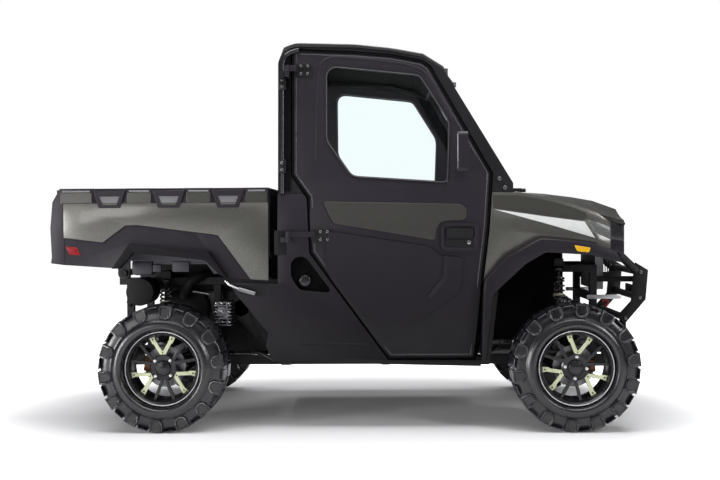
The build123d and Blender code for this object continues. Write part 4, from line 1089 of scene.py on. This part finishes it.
def add_handle():
    x0, z0, x1, z1 = HANDLE
    outer = round_corners(rectangle(x0, z0, x1, z1), 0.035)
    bezel = laid("handle_bezel", outer, "door_right", 0.012, 0.016, 0, 0.5)
    face_y = min(vert.co.y for vert in bezel.data.vertices)
    pick(bezel, "FACE", lambda face: face.normal.y < -0.7 and face.area > 0.001)
    sink(0.016, 0.004, (0, 0.009, 0))
    soften(bezel, 0.002)
    both("plastic", bezel, "door_{}")
    both("gasket", plate("handle_grip", round_corners(rectangle(x0 + 0.03, 1.0, x1 - 0.028, 1.05),
        0.018), face_y + 0.004, face_y - 0.004, 0.003), "door_{}")
    both("gasket", plate("handle_pocket", round_corners(rectangle(x0 + 0.03, 0.962, x1 - 0.028,
        0.992), 0.01), face_y + 0.01, face_y + 0.007, 0), "door_{}")
    both("chrome", drum("handle_lock", (x1 - 0.05, face_y + 0.006, 0.978), 0.01, 0.004, sides=24,
        width=0.001), "door_{}")


def add_hinges():
    for name, z0, z1, x0, x1 in (("upper", 1.846, 1.92, -0.325, -0.232),
            ("lower", 0.978, 1.056, -0.232, -0.13)):
        both("frame", laid(f"hinge_leaf_{name}", round_corners(rectangle(x0, z0, x1, z1), 0.01),
            "door_right", 0.007, 0.01, 0.0015, 0.5), "door_{}")
        middle = (z0 + z1) / 2
        spots = on_skin([(x, z) for x in (x1 - 0.022, x1 - 0.058)
            for z in (middle - 0.02, middle + 0.02)], 0.01)
        both("bolt", bolt_heads(f"hinge_bolts_{name}", spots, 0.0085, 0.01), "door_{}")


def add_mirror():
    for side in ("right", "left"):
        stand_in("plastic", f"mirror_{side}_housing", f"mirror_{side}", 0.008, f"door_{side}")
    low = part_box("mirror_right")[0]
    face = block("mirror_face", (low[0] - 0.0008, low[1] + 0.012, 1.35),
        (low[0] + 0.002, -0.768, 1.526), 0.0)
    soften(face, 0.0006)
    both("mirror", face, "door_{}")
    both("frame", drum("mirror_joint", (0.526, -0.7, 1.361), 0.017, 0.034, sides=24, width=0.006),
        "door_{}")


def make_doors():
    for side in ("right", "left"):
        stand_in("plastic", f"door_{side}_shell", f"door_{side}", 0.011, f"door_{side}",
            segments=3, corners=0.032)
    both("gasket", laid("door_inset_groove", round_corners(PAINTED_INSET, 0.02), "door_right",
        0.0012, 0.006, 0), "door_{}")
    middle = Vector((sum(x for x, _ in PAINTED_INSET) / len(PAINTED_INSET), 1.098))
    shrunk = [tuple(middle + (Vector(p) - middle) * 0.985) for p in PAINTED_INSET]
    # the inset gets a darker copy of the paint: painted shade
    both("paint_dark", laid("door_inset", round_corners(shrunk, 0.02), "door_right", 0.003, 0.006,
        0.001), "door_{}")
    both("plastic", laid("door_lower_field", round_corners(LOWER_FIELD, 0.03), "door_right", 0.01,
        0.013, 0.009), "door_{}")
    crease = laid("door_lower_crease", LOWER_CREASE, "door_right", 0.017, 0.012, 0, 0.5)
    for vert in crease.data.vertices:
        if any(abs(vert.co.x - x) + abs(vert.co.z - z) < 0.002 for x, z in LOWER_CREASE[:3]):
            vert.co.y += 0.0085
    both("plastic", done(crease, 10), "door_{}")
    both("plastic", tube("door_window_crease", on_skin(WINDOW_CREASE, -0.004), 0.008, True),
        "door_{}")
    window = round_corners(DOOR_WINDOW, 0.032)
    for key, name, points, lift, radius in (
            ("lining", "door_edge_seal", DOOR_EDGE, -0.002, 0.0065),
            # a lighter bead inside the door's edge: painted highlight
            ("lip", "door_edge_lip", inward(DOOR_EDGE, 0.017), -0.001, 0.0042),
            ("gasket", "window_rubber", window, 0.0, 0.0055),
            # a thin light line round the window: painted highlight
            ("trim", "window_trim", window, 0.005, 0.0016)):
        both(key, loop_tube(name, on_skin(points, lift), radius), "door_{}")
    add_handle()
    add_hinges()
    add_mirror()


class DoorsOperator(PieceOperator, bpy.types.Operator):
    """Door skins with their painted insets, handles, hinges, mirrors and seals"""
    bl_idname = "vehicle.doors"
    bl_label = "Doors"
    build = staticmethod(make_doors)


# ---------------------------------------------------------------- cab
def door_seal(name, points, width, lift, thickness):
    """A ring round the doorway, behind the door's edge."""
    piece = outline(name, [(x, 0, z) for x, z in points])
    pick_all(piece)
    bpy.ops.mesh.inset(thickness=width)
    bpy.ops.mesh.delete(type="FACE")
    for z, _ in SIDE_SKIN[1:-1]:
        pick_all(piece)
        bpy.ops.mesh.bisect(plane_co=(0, 0, z), plane_no=(0, 0, 1))
    clear()
    for vert in piece.data.vertices:
        vert.co.y = -skin_half(vert.co.z) - lift
    return push(piece, (0, thickness, 0))


def add_wiper():
    top, foot = Vector((0.484, 0, ROOF_Z - 0.186)), Vector((0.813, 0, BELT_Z + 0.05))
    down = (foot - top).normalized()
    out = Vector((-down.z, 0, down.x))
    if out.x < 0:
        out = -out
    motor = top + down * 0.03 + out * 0.01
    brackets = [block("bracket", (0.455, -0.622, 1.842), (0.482, -0.598, 1.892), 0.005),
        drum("knob", (0.512, -0.605, 1.806), 0.013, 0.028, "Z", 20, 0.004),
        tube("stay", [(0.47, -0.61, 1.86), (0.512, -0.606, 1.806)], 0.006)]
    both("bolt", joined("windshield_brackets", brackets))
    one("plastic", drum("wiper_motor", (motor.x, -0.05, motor.z), 0.026, 0.09, sides=24,
        width=0.005))
    one("gasket", tube("wiper_arm", [(motor.x + 0.022, -0.06, motor.z + 0.01),
        tuple(top + down * 0.2 + out * 0.02 + Vector((0, -0.12, 0))),
        tuple(top + down * 0.36 + out * 0.016 + Vector((0, -0.18, 0)))], 0.005))
    one("gasket", tube("wiper_blade", [
        tuple(top + down * 0.16 + out * 0.01 + Vector((0, -0.1, 0))),
        tuple(top + down * 0.56 + out * 0.01 + Vector((0, -0.26, 0)))], 0.006))


def make_cab():
    stand_in("roof", "roof_shell", "roof", 0.009, segments=3, corners=0.045,
        test=lambda middle: middle.z > ROOF_Z - 0.05)
    liner = [(rear(0.64), ROOF_Z - 0.06), (rear(0.7), ROOF_Z - 0.046),
        (front(-1.127), ROOF_Z - 0.054), (front(-0.934), ROOF_Z - 0.072),
        (front(-0.78), ROOF_Z - 0.104), (front(-0.69), ROOF_Z - 0.172),
        (front(-0.7), ROOF_Z - 0.182), (front(-0.79), ROOF_Z - 0.114),
        (front(-0.934), ROOF_Z - 0.082), (front(-1.127), ROOF_Z - 0.064),
        (rear(0.7), ROOF_Z - 0.056), (rear(0.64), ROOF_Z - 0.07)]
    # the headliner is near-black: painted shade inside the cab
    one("lining", across("headliner", liner, 0.585, 0))
    both("lining", door_seal("doorway_seal", DOOR_EDGE, 0.035, -0.056, 0.006))
    middle = Vector((0.15, 1.2))
    wide = [tuple(Vector(p) + (Vector(p) - middle).normalized() * 0.03) for p in DOOR_EDGE]
    wide = [(x, min(z, ROOF_Z - 0.03)) for x, z in wide]
    both("lining", door_seal("doorway_frame", wide, 0.038, -0.052, 0.005))
    pillar = [(-0.387, 1.235), (-0.387, 1.6), (-0.387, 1.88), (-0.383, 1.935), (-0.355, 1.98),
        (-0.3, 1.99)]
    both("tube", tube("pillar_tube", on_skin(pillar, 0.002), 0.012, True, 5))
    # a dark strip on the pillar beside the tube: painted shadow
    shade = plate("pillar_recess", [(-0.377, 1.25), (-0.346, 1.25), (-0.346, 1.965),
        (-0.377, 1.95)], -0.66, -0.668, 0)
    for vert in shade.data.vertices:
        vert.co.y -= skin_half(vert.co.z) - 0.664
    both("lining", shade)
    for name, z in (("upper", 1.813), ("lower", 1.378)):
        half = skin_half(z)
        both("frame", block(f"pillar_clamp_{name}", (-0.408, -half - 0.018, z - 0.036),
            (-0.366, -half + 0.03, z + 0.036), 0.005))
        both("bolt", bolt_heads(f"clamp_bolts_{name}", [(-0.387, -half - 0.021, z - 0.018),
            (-0.387, -half - 0.021, z + 0.018)], 0.009, 0.008))
    coat("glass", "windshield", "rear_window")
    add_wiper()
    both("bolt", bolt_heads("pillar_foot_bolts", [(0.742, -0.7, 1.307), (0.77, -0.702, 1.26)],
        0.011, 0.012))


class CabOperator(PieceOperator, bpy.types.Operator):
    """Roof, pillars, door seals, windshield wiper and windows"""
    bl_idname = "vehicle.cab"
    bl_label = "Cab"
    build = staticmethod(make_cab)


FILLER = round_corners([(-0.346, 0.88), (-0.316, 0.908), (-0.283, 0.912), (-0.258, 0.899),
    (-0.139, 0.742), (-0.143, 0.717), (-0.295, 0.73), (-0.318, 0.756), (-0.347, 0.806)], 0.018)


def make_side_panels():
    panels = cad_form("side_panel_shells", "side_panels", 0.006)
    for sign in (-1, 1):
        carve(panels, plate("cutter", FILLER, sign * 0.686, sign * 0.8, 0))
    done(panels)
    one("plastic", panels, "chassis", "side_panels")
    # the filler pocket is near-black: painted shade in the recess
    both("lining", plate("filler_pocket", FILLER, -0.6855, -0.6875, 0))
    both("wheel", drum("filler_cap", (-0.272, -0.696, 0.782), 0.03, 0.022, sides=32, width=0.006))
    both("gasket", loop_tube("filler_rim", on_skin(FILLER, -0.001), 0.003))
    both("black", block("hinge_arm", (-0.372, -0.745, 0.992), (-0.345, -0.712, 1.046), 0.004))
    both("black", block("hinge_bracket", (-0.43, -0.726, 0.916), (-0.368, -0.7, 1.046), 0.006))
    both("plastic", tube("sill_crease", on_skin([(-0.3, 0.452), (-0.1, 0.452), (0.06, 0.446)],
        -0.003), 0.006))
    both("frame", tube("front_step", [(0.63, -0.67, 0.366), (0.66, -0.6, 0.376),
        (0.757, -0.4, 0.398)], 0.011, True))
    both("frame", tube("rear_step", [(-0.56, -0.6, 0.402), (-0.47, -0.66, 0.388),
        (-0.44, -0.672, 0.36)], 0.011, True))
    stand_in("plastic", "cowl_shell", "cowl", 0.004)
    lug = block("cowl_lug", (0.815, -0.535, 1.236), (0.88, -0.5, 1.262), 0.006)
    post = drum("cowl_pin", (0.885, -0.52, 1.25), 0.01, 0.03, "X", 16)
    both("gasket", joined("cowl_fittings", [lug, post]))


class SidePanelsOperator(PieceOperator, bpy.types.Operator):
    """Rear quarters and sills with the fuel filler, lower hinge posts and steps"""
    bl_idname = "vehicle.side_panels"
    bl_label = "Side panels"
    build = staticmethod(make_side_panels)


# ---------------------------------------------------------------- bed
POCKET_CENTRES = [rear(-0.268), rear(0.041), rear(0.35)]
BED_SKIN = [(-0.51, -0.077), (-0.51, -0.256), (-0.305, -0.281), (-0.186, -0.193), (-0.13, -0.191),
    (0.27, -0.242), (0.296, -0.248), (0.463, -0.475), (0.556, -0.482), (0.556, -0.077)]
FLARE_Y = 0.7365  # the bed's side forms are a flare outside this
BED_REAR_X = rear(-0.58)
BED_FRONT_X = rear(0.556)


def add_pockets(face):
    frames, floors = [], []
    for x in POCKET_CENTRES:
        shape = [(x - 0.085, 1.256), (x - 0.078, 1.236), (x - 0.056, 1.166), (x + 0.056, 1.166),
            (x + 0.078, 1.236), (x + 0.085, 1.256)]
        hole = [(x - 0.054, 1.226), (x - 0.037, 1.182), (x + 0.037, 1.182), (x + 0.054, 1.226)]
        piece = plate("pocket", shape, -face + 0.004, -face - 0.009, 0.003)
        carve(piece, plate("cutter", hole, -face + 0.02, -face - 0.03, 0))
        frames.append(done(piece))
        floors.append(plate("floor", hole, -face + 0.0025, -face - 0.0045, 0))
    both("plastic", joined("bed_pocket_frames", frames), "cargo_bed")
    # the pocket floors get a lighter plastic: painted highlight
    both("rail", joined("bed_pocket_floors", floors), "cargo_bed")


def add_tailgate():
    stand_in("plastic", "tailgate_shell", "tailgate", 0.006, "tailgate")
    low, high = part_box("tailgate")
    panel = block("tailgate_skin", (low[0] - 0.0005, low[1] + 0.05, low[2] + 0.06),
        (low[0] + 0.012, high[1] - 0.05, high[2] - 0.05), 0.004)
    pick(panel, "FACE", lambda face: face.normal.x < -0.9 and face.area > 0.05)
    sink(0.07, 0.006, (0.004, 0, 0))
    one("paint", done(panel), "tailgate")
    one("gasket", block("tailgate_latch", (low[0] - 0.001, -0.09, high[2] - 0.115),
        (low[0] + 0.01, 0.09, high[2] - 0.075), 0.005), "tailgate")


def add_underside():
    both("bluish", block("harness_box", (-1.205, -0.6, 0.808), (-1.09, -0.48, 0.896), 0.02),
        "cargo_bed")
    plates = [block("plate", (-1.09, -0.6, 0.826), (-1.046, -0.57, 0.866), 0.003),
        block("plate", (-0.985, -0.6, 0.826), (-0.896, -0.57, 0.88), 0.003),
        block("rib", (-1.09, -0.585, 0.866), (-0.8, -0.575, 0.905), 0.002)]
    both("bluish", joined("bed_under_plates", plates), "cargo_bed")


def make_bed():
    sides = cad_form("bed_side_shells", "bed_sides", 0.006)
    flares = split_off(sides, "bed_flares", lambda face: abs(face.center.y) > FLARE_Y)
    one("plastic", sides, "cargo_bed", "bed_sides")
    # the flares get a darker copy of the plastic: painted shade
    one("plastic_dark", flares, "cargo_bed")
    groove = [(rear(dx), -FLARE_Y - 0.001, BED_TOP_Z + dz) for dx, dz in BED_SKIN]
    both("gasket", loop_tube("bed_skin_groove", groove, 0.0034), "cargo_bed")
    stand_in("paint", "bed_skins", "bed_panels", 0.002, "cargo_bed")
    stand_in("liner", "bed_liner_tub", "bed_tub", 0.004, "cargo_bed")
    stand_in("red", "bed_tail_lamps", "tail_lamps", 0.003, "cargo_bed")
    face = BED_SIDE_Y + 0.001
    edges = [BED_REAR_X + 0.054] + [x + s * 0.092 for x in POCKET_CENTRES for s in (-1, 1)]
    edges.append(BED_FRONT_X - 0.004)
    bands, rails = [], []
    for x0, x1 in zip(edges[::2], edges[1::2]):
        band = plate("band", [(x0, 1.188), (x1, 1.188), (x1, 1.246), (x0, 1.246)], -face,
            -face - 0.004, 0.0015)
        bands.append(band)
        # a light bar along the rail's top edge: painted highlight
        rails.append(tube("rail", [(x0 + 0.01, -face + 0.001, 1.252),
            (x1 - 0.01, -face + 0.001, 1.252)], 0.0055))
    # the bands get a darker copy of the paint: painted shade
    both("paint_dark", joined("bed_upper_bands", bands), "cargo_bed")
    both("rail", joined("bed_rail_strips", rails), "cargo_bed")
    both("red", laid("bed_marker", round_corners([(-1.515, 0.968), (-1.455, 0.962),
        (-1.437, 0.921), (-1.496, 0.925)], 0.006), "bed_sides", 0.004, 0.008, 0.002), "cargo_bed")
    add_pockets(face)
    add_tailgate()
    both("gasket", plate("bed_corner_seam", [(-1.524, 0.88), (-1.52, 0.88), (-1.518, 1.252),
        (-1.522, 1.252)], -face + 0.003, -face - 0.0005, 0), "cargo_bed")
    both("bluish", plate("wheel_arch_flange", [(-1.236, 0.95), (-0.83, 0.93), (-0.73, 0.822),
        (-0.76, 0.812), (-0.805, 0.876), (-0.891, 0.884), (-1.236, 0.886)], -0.6, -0.612, 0.004),
        "cargo_bed")
    add_underside()


class BedOperator(PieceOperator, bpy.types.Operator):
    """Cargo bed with its skins, pockets, rails, lamps and tailgate"""
    bl_idname = "vehicle.bed"
    bl_label = "Cargo bed"
    build = staticmethod(make_bed)


# ---------------------------------------------------------------- front
STRIPE = [(0.713, 1.148), (0.999, 1.106), (1.176, 1.082), (1.231, 0.997), (0.999, 1.067)]
FLARE_TOP = [(0.11, BELT_Z - 0.271), (0.005, BELT_Z - 0.253), (-0.18, BELT_Z - 0.235),
    (-0.357, BELT_Z - 0.331), (-0.472, BELT_Z - 0.454)]
# outline of a dark sheet on each fender above the stripe: painted shade
FENDER_PAINTED_SHADE = [(0.706, 1.154), (0.999, 1.111), (1.172, 1.09), (1.188, 1.1), (1.184, 1.126),
    (1.13, 1.15), (1.008, 1.188), (0.92, 1.206), (0.826, 1.221), (0.706, 1.2205)]
NOSE_SPLIT = 1.318  # the black nose starts forward of this X
MARKER = [(1.114, 0.962), (1.198, 0.948), (1.189, 0.924), (1.129, 0.931)]


def add_lamps():
    lenses = cad_form("headlamp_lenses", "headlamps", 0.004)
    covers = split_off(lenses, "headlamp_covers", lambda face: face.center.x > NOSE_SPLIT)
    one("lamp", lenses, "chassis", "headlamps")
    one("lamp_dark", covers)
    for i, (dx, y) in enumerate(((0.291, -0.46), (0.277, -0.53))):
        both("reflector", drum(f"lamp_bowl_{i}", (front(dx), y, 1.01), 0.024, 0.03, "X", 32,
            0.006))


def add_nose():
    mesh = []
    for i in range(11):
        y = -0.3 + i * 0.06
        mesh.append(tube("wire", [(front(0.262), y - 0.02, 0.8), (front(0.262), y + 0.02, 0.93)],
            0.003, sides=1))
    one("gasket", joined("grille_mesh", mesh))
    one("gasket", block("grille_backing", (1.362, -0.42, 0.9), (1.37, 0.42, 1.05), 0.002))
    both("gasket", plate("nose_rib", [(front(0.08), 1.03), (front(0.3), 1.03), (front(0.3), 1.083),
        (front(0.1), 1.083)], -0.4, -0.37, 0.002))
    one("gasket", plate("nose_bridge", [(front(0.15), 1.03), (front(0.268), 1.03),
        (front(0.272), 1.079), (front(0.16), 1.092)], -0.15, 0.15, 0.003))
    both("frame", tube("nose_brace", [(1.36, -0.35, 0.94), (1.436, -0.35, 0.896),
        (1.53, -0.345, 0.806)], 0.023, sides=6))
    corner = [(1.34, 0.588), (1.392, 0.58), (1.412, 0.55), (1.43, 0.43), (1.432, 0.2)]
    line = [(x, -y, 1.069) for x, y in corner] + [(x, y, 1.069) for x, y in corner[::-1]]
    one("gasket", tube("hood_front_lip", line, 0.0105), "hood")


def add_bumper_details():
    both("bar", block("skid_arm", (1.255, -0.356, 0.655), (1.443, -0.344, 0.678), 0.004))
    both("tow", tube("tow_hook", [(1.35, -0.3, 0.64), (1.372, -0.3, 0.65), (1.385, -0.3, 0.628),
        (1.368, -0.3, 0.608)], 0.007, True))
    spots = [(front(dx), -0.337, z) for dx, z in ((0.43, 0.8), (0.425, 0.66), (0.345, 0.548))]
    both("bolt", bolt_heads("bumper_bolts", spots, 0.01, 0.008))
    roller = [drum("roller", (front(0.452), 0, z), 0.011, 0.17, "Y", 20) for z in (0.66, 0.7)]
    one("chrome", joined("winch_rollers", roller))


def make_front():
    stand_in("hood", "hood_shell", "hood", 0.008, "hood")
    stand_in("plastic", "flare_shells", "front_flares", 0.008)
    stand_in("plastic", "nose_shell", "fascia", 0.006)
    stand_in("black", "bumper_shell", "bumper", 0.002)
    fenders = cad_form("fender_shells", "front_fenders", 0.014)
    ends = split_off(fenders, "fender_ends", lambda face: face.center.x > NOSE_SPLIT)
    one("paint", fenders, "chassis", "front_fenders")
    one("plastic", ends)
    both("stripe", laid("fender_stripe", STRIPE, "front_fenders", 0.001, 0.003, 0.0005))
    # a dark sheet over the fender's upper face: painted shade
    both("paint_upper", laid("fender_upper_panel", FENDER_PAINTED_SHADE, "front_fenders", 0.0007, 0.002,
        0))
    both("amber", laid("fender_marker", round_corners(MARKER, 0.006), "front_flares", 0.004, 0.008,
        0.002))
    groove = [(front(dx), -0.7245 if dx < 0.12 else -0.7, z) for dx, z in FLARE_TOP]
    both("gasket", tube("flare_groove", groove, 0.0036))
    add_lamps()
    add_nose()
    add_bumper_details()


class FrontOperator(PieceOperator, bpy.types.Operator):
    """Hood, fenders, flares, lamps, nose and bumper"""
    bl_idname = "vehicle.front"
    bl_label = "Front"
    build = staticmethod(make_front)


# ---------------------------------------------------------------- running gear
# end, X, height of the upper eye and its distance from the middle
SHOCKS = (("front", front(-0.03), 0.84, 0.375), ("rear", rear(-0.05), 0.78, 0.35))
SHOCK_SEAT = (0.445, 0.472)  # lower eye's distance from the middle and height
STUB_Y = -0.2055  # the engine's stub lies outside this
OUTRIGGER_LIFT = 0.044  # rise of the frame posts' outer ends


def add_shock(end, x, top_z, top_y):
    low = Vector((x, -SHOCK_SEAT[0], SHOCK_SEAT[1] + 0.016))
    high = Vector((x, -top_y, top_z - 0.016))
    line = high - low
    both("spring", coil(f"shock_spring_{end}", low + line * 0.2, low + line * 0.82, 0.029, 0.0055,
        8))
    rod = tube("rod", [tuple(low), tuple(high)], 0.009)
    body = tube("body", [tuple(low + line * 0.08), tuple(low + line * 0.52)], 0.019, sides=6)
    eyes = [drum("eye", tuple(spot), 0.016, 0.036, "X", 24, 0.003) for spot in (low, high)]
    both("cast_dark", joined(f"shock_damper_{end}", [rod, body, *eyes]))
    cups = [tube("cup", [tuple(low + line * (t - 0.012)), tuple(low + line * (t + 0.012))], 0.034,
        sides=6) for t in (0.18, 0.84)]
    both("spring", joined(f"shock_cups_{end}", cups))
    both("collar", tube(f"shock_collar_{end}", [tuple(low + line * 0.555),
        tuple(low + line * 0.59)], 0.0315, sides=6))


def add_liners():
    arch = [(0.64, 0.42), (0.64, 0.9), (0.86, 0.99), (1.128, 0.99), (1.132, 0.65), (0.96, 0.44)]
    # the wheel-well liner is near-black: painted shade
    both("lining", plate("front_liner", arch, -0.312, -0.306, 0))
    one("gasket", block("air_box", (-1.165, -0.22, 0.7), (-0.52, 0.22, 0.885), 0.02))
    one("dark_cast", block("gear_housing", (-1.11, -0.18, 0.44), (-0.88, 0.18, 0.705), 0.04))
    both("gasket", drum("belt_cover", (-0.96, -0.205, 0.61), 0.115, 0.06, sides=40, width=0.02))
    both("gasket", tube("air_hose", [(-0.83, -0.235, 0.8), (-0.9, -0.3, 0.79),
        (-0.96, -0.32, 0.74), (-0.98, -0.28, 0.67)], 0.026, True))
    both("chrome", tube("shift_rod", [(-0.893, -0.5, 0.716), (-0.801, -0.5, 0.7)], 0.008))
    boots = []
    for x in (FRONT_AXLE, REAR_AXLE):
        for sign, y in ((1, 0.125), (-1, 0.52)):
            profile = [(y, 0.016)] + [(y + sign * (0.008 + i * 0.011),
                0.04 - i * 0.003 - (i % 2) * 0.007) for i in range(7)]
            profile.append((y + sign * 0.086, 0.014))
            boots.append(lathe("boot", profile, (x, 0, AXLE_Z), 32))
    both("gasket", joined("shaft_boots", boots))


def add_levers():
    lever = tube("bed_lever", [(-0.684, -0.725, 0.784), (-0.662, -0.735, 0.762),
        (-0.612, -0.738, 0.742)], 0.006)
    grip = tube("bed_lever_grip", [(-0.616, -0.738, 0.743), (-0.529, -0.738, 0.717)], 0.011,
        sides=6)
    one("chrome", lever)
    one("steel", grip)
    both("gasket", laid("lever_recess", [(-0.652, 0.764), (-0.425, 0.76), (-0.47, 0.7),
        (-0.612, 0.714)], "side_panels", 0.0015, 0.005, 0.001))
    # a dark plate in the gap between cab and bed: painted shade
    both("lining", plate("cab_gap_screen", rectangle(-0.452, 0.79, -0.414, 1.228), -0.665, -0.64,
        0))


def make_running_gear():
    for end, x, top_z, top_y in SHOCKS:
        add_shock(end, x, top_z, top_y)
    for key, nodes in CAD_FINISHES.items():
        coat(key, *nodes)
    engine = cad_form("engine_block", "engine", 0.004)
    bpy.data.objects.remove(split_off(engine, "stub", lambda face: face.center.y < STUB_Y))
    one("dark_cast", engine, "chassis", "engine")
    core = drum("core", (-0.736, -0.34, 0.595), 0.034, 0.262, sides=24)
    fins = [block("fin", (-0.784 + (i % 2) * 0.006, -0.472, 0.526 + i * 0.0175),
        (-0.69, -0.3, 0.5335 + i * 0.0175), 0.002) for i in range(8)]
    ribs = [block("rib", (x, -0.468, 0.528), (x + 0.007, -0.3, 0.655), 0.002)
        for x in (-0.762, -0.718)]
    one("steel", joined("drive_cover", [core, *fins, *ribs]))
    heads = [(x, -0.475, z) for x in (-0.772, -0.74, -0.702) for z in (0.548, 0.602, 0.648)]
    one("chrome", bolt_heads("drive_cover_bolts", heads, 0.007, 0.01))
    stand_in("gasket", "muffler_drum", "muffler", 0.006)
    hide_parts("shocks")
    posts = cad_form("frame_post_tubes", "frame_posts", 0.0)
    for vert in posts.data.vertices:
        if abs(vert.co.y) > 0.4 and vert.co.z < 0.32:
            vert.co.z += OUTRIGGER_LIFT
    one("frame", soften(posts, 0.002), "chassis", "frame_posts")
    add_liners()
    add_levers()


class RunningGearOperator(PieceOperator, bpy.types.Operator):
    """Coil-over shocks, arms, boots, engine, muffler, liners and levers"""
    bl_idname = "vehicle.running_gear"
    bl_label = "Running gear"
    build = staticmethod(make_running_gear)


# ---------------------------------------------------------------- interior
PAD_VOXEL = 0.012  # mesh size of a cushion's cover
PAD_PRESSURE = 4.0
PAD_FRAMES = 20  # length of the simulation that blows a cover up
BACK_SWELL = 0.012  # how far a seat back's skin may swell


def swell(piece, limit):
    """Blows the cushion's skin up like a sewn cover and caps how far it moves."""
    soften(piece, 0.025, 3)
    modify(piece, "REMESH", mode="VOXEL", voxel_size=PAD_VOXEL)
    start = [vert.co.copy() for vert in piece.data.vertices]
    cloth = piece.modifiers.new("swell", "CLOTH")
    cloth.settings.use_pressure = True
    cloth.settings.uniform_pressure_force = PAD_PRESSURE
    cloth.settings.effector_weights.gravity = 0.0
    cloth.settings.quality = 5
    cloth.point_cache.frame_start = 1
    cloth.point_cache.frame_end = PAD_FRAMES
    for number in range(1, PAD_FRAMES + 1):
        bpy.context.scene.frame_set(number)
    bpy.context.view_layer.objects.active = piece
    bpy.ops.object.modifier_apply(modifier=cloth.name)
    bpy.context.scene.frame_set(1)
    for vert, place in zip(piece.data.vertices, start):
        move = vert.co - place
        if move.length > limit:
            vert.co = place + move.normalized() * limit
    modify(piece, "SUBSURF", levels=1, render_levels=1)
    bpy.ops.object.shade_smooth()


def make_interior():
    stand_in("plastic", "dashboard_shell", "dashboard", 0.012, segments=3)
    stand_in("gasket", "steering_wheel_rim", "steering_wheel", 0.003, "steering_wheel")
    coat("glass", "door_glass_right", "door_glass_left")
    for name, limit in (("seat_cushion", sizes().pad_swell), ("seat_back", BACK_SWELL)):
        piece = whole_form(name, name + "s")
        swell(piece, limit)
        one("vinyl", piece, "chassis", name + "s")


class InteriorOperator(PieceOperator, bpy.types.Operator):
    """Seats, dashboard, steering wheel and door glass"""
    bl_idname = "vehicle.interior"
    bl_label = "Interior"
    build = staticmethod(make_interior)


class MaterialsOperator(PieceOperator, bpy.types.Operator):
    """Every finish, from the main colours"""
    bl_idname = "vehicle.materials"
    bl_label = "Finishes"
    build = staticmethod(make_materials)


STEPS = [StageOperator, MaterialsOperator, WheelsOperator, DoorsOperator, CabOperator,
    SidePanelsOperator, BedOperator, FrontOperator, RunningGearOperator, InteriorOperator]


class VehiclePanel(bpy.types.Panel):
    """Lists the steps that dress the vehicle"""
    bl_idname = "VIEW3D_PT_vehicle"
    bl_label = "Utility Vehicle"
    bl_space_type = "VIEW_3D"
    bl_region_type = "UI"
    bl_category = "Utility Vehicle"

    def draw(self, context):
        for group in (context.scene.vehicle_colours, context.scene.vehicle_sizes):
            for name in group.bl_rna.properties.keys():
                if name not in ("rna_type", "name"):
                    self.layout.prop(group, name)
        for step in STEPS:
            self.layout.operator(step.bl_idname)


CLASSES = [VehicleColours, VehicleSizes, *STEPS, VehiclePanel]


def register():
    for item in CLASSES:
        bpy.utils.register_class(item)
    bpy.types.Scene.vehicle_colours = bpy.props.PointerProperty(type=VehicleColours)
    bpy.types.Scene.vehicle_sizes = bpy.props.PointerProperty(type=VehicleSizes)


def unregister():
    del bpy.types.Scene.vehicle_sizes
    del bpy.types.Scene.vehicle_colours
    for item in reversed(CLASSES):
        bpy.utils.unregister_class(item)


def main():
    register()
    bpy.ops.vehicle.stage()
    bpy.ops.vehicle.materials()
    bpy.ops.vehicle.wheels()
    bpy.ops.vehicle.doors()
    bpy.ops.vehicle.cab()
    bpy.ops.vehicle.side_panels()
    bpy.ops.vehicle.bed()
    bpy.ops.vehicle.front()
    bpy.ops.vehicle.running_gear()
    bpy.ops.vehicle.interior()


if __name__ == "__main__":
    main()
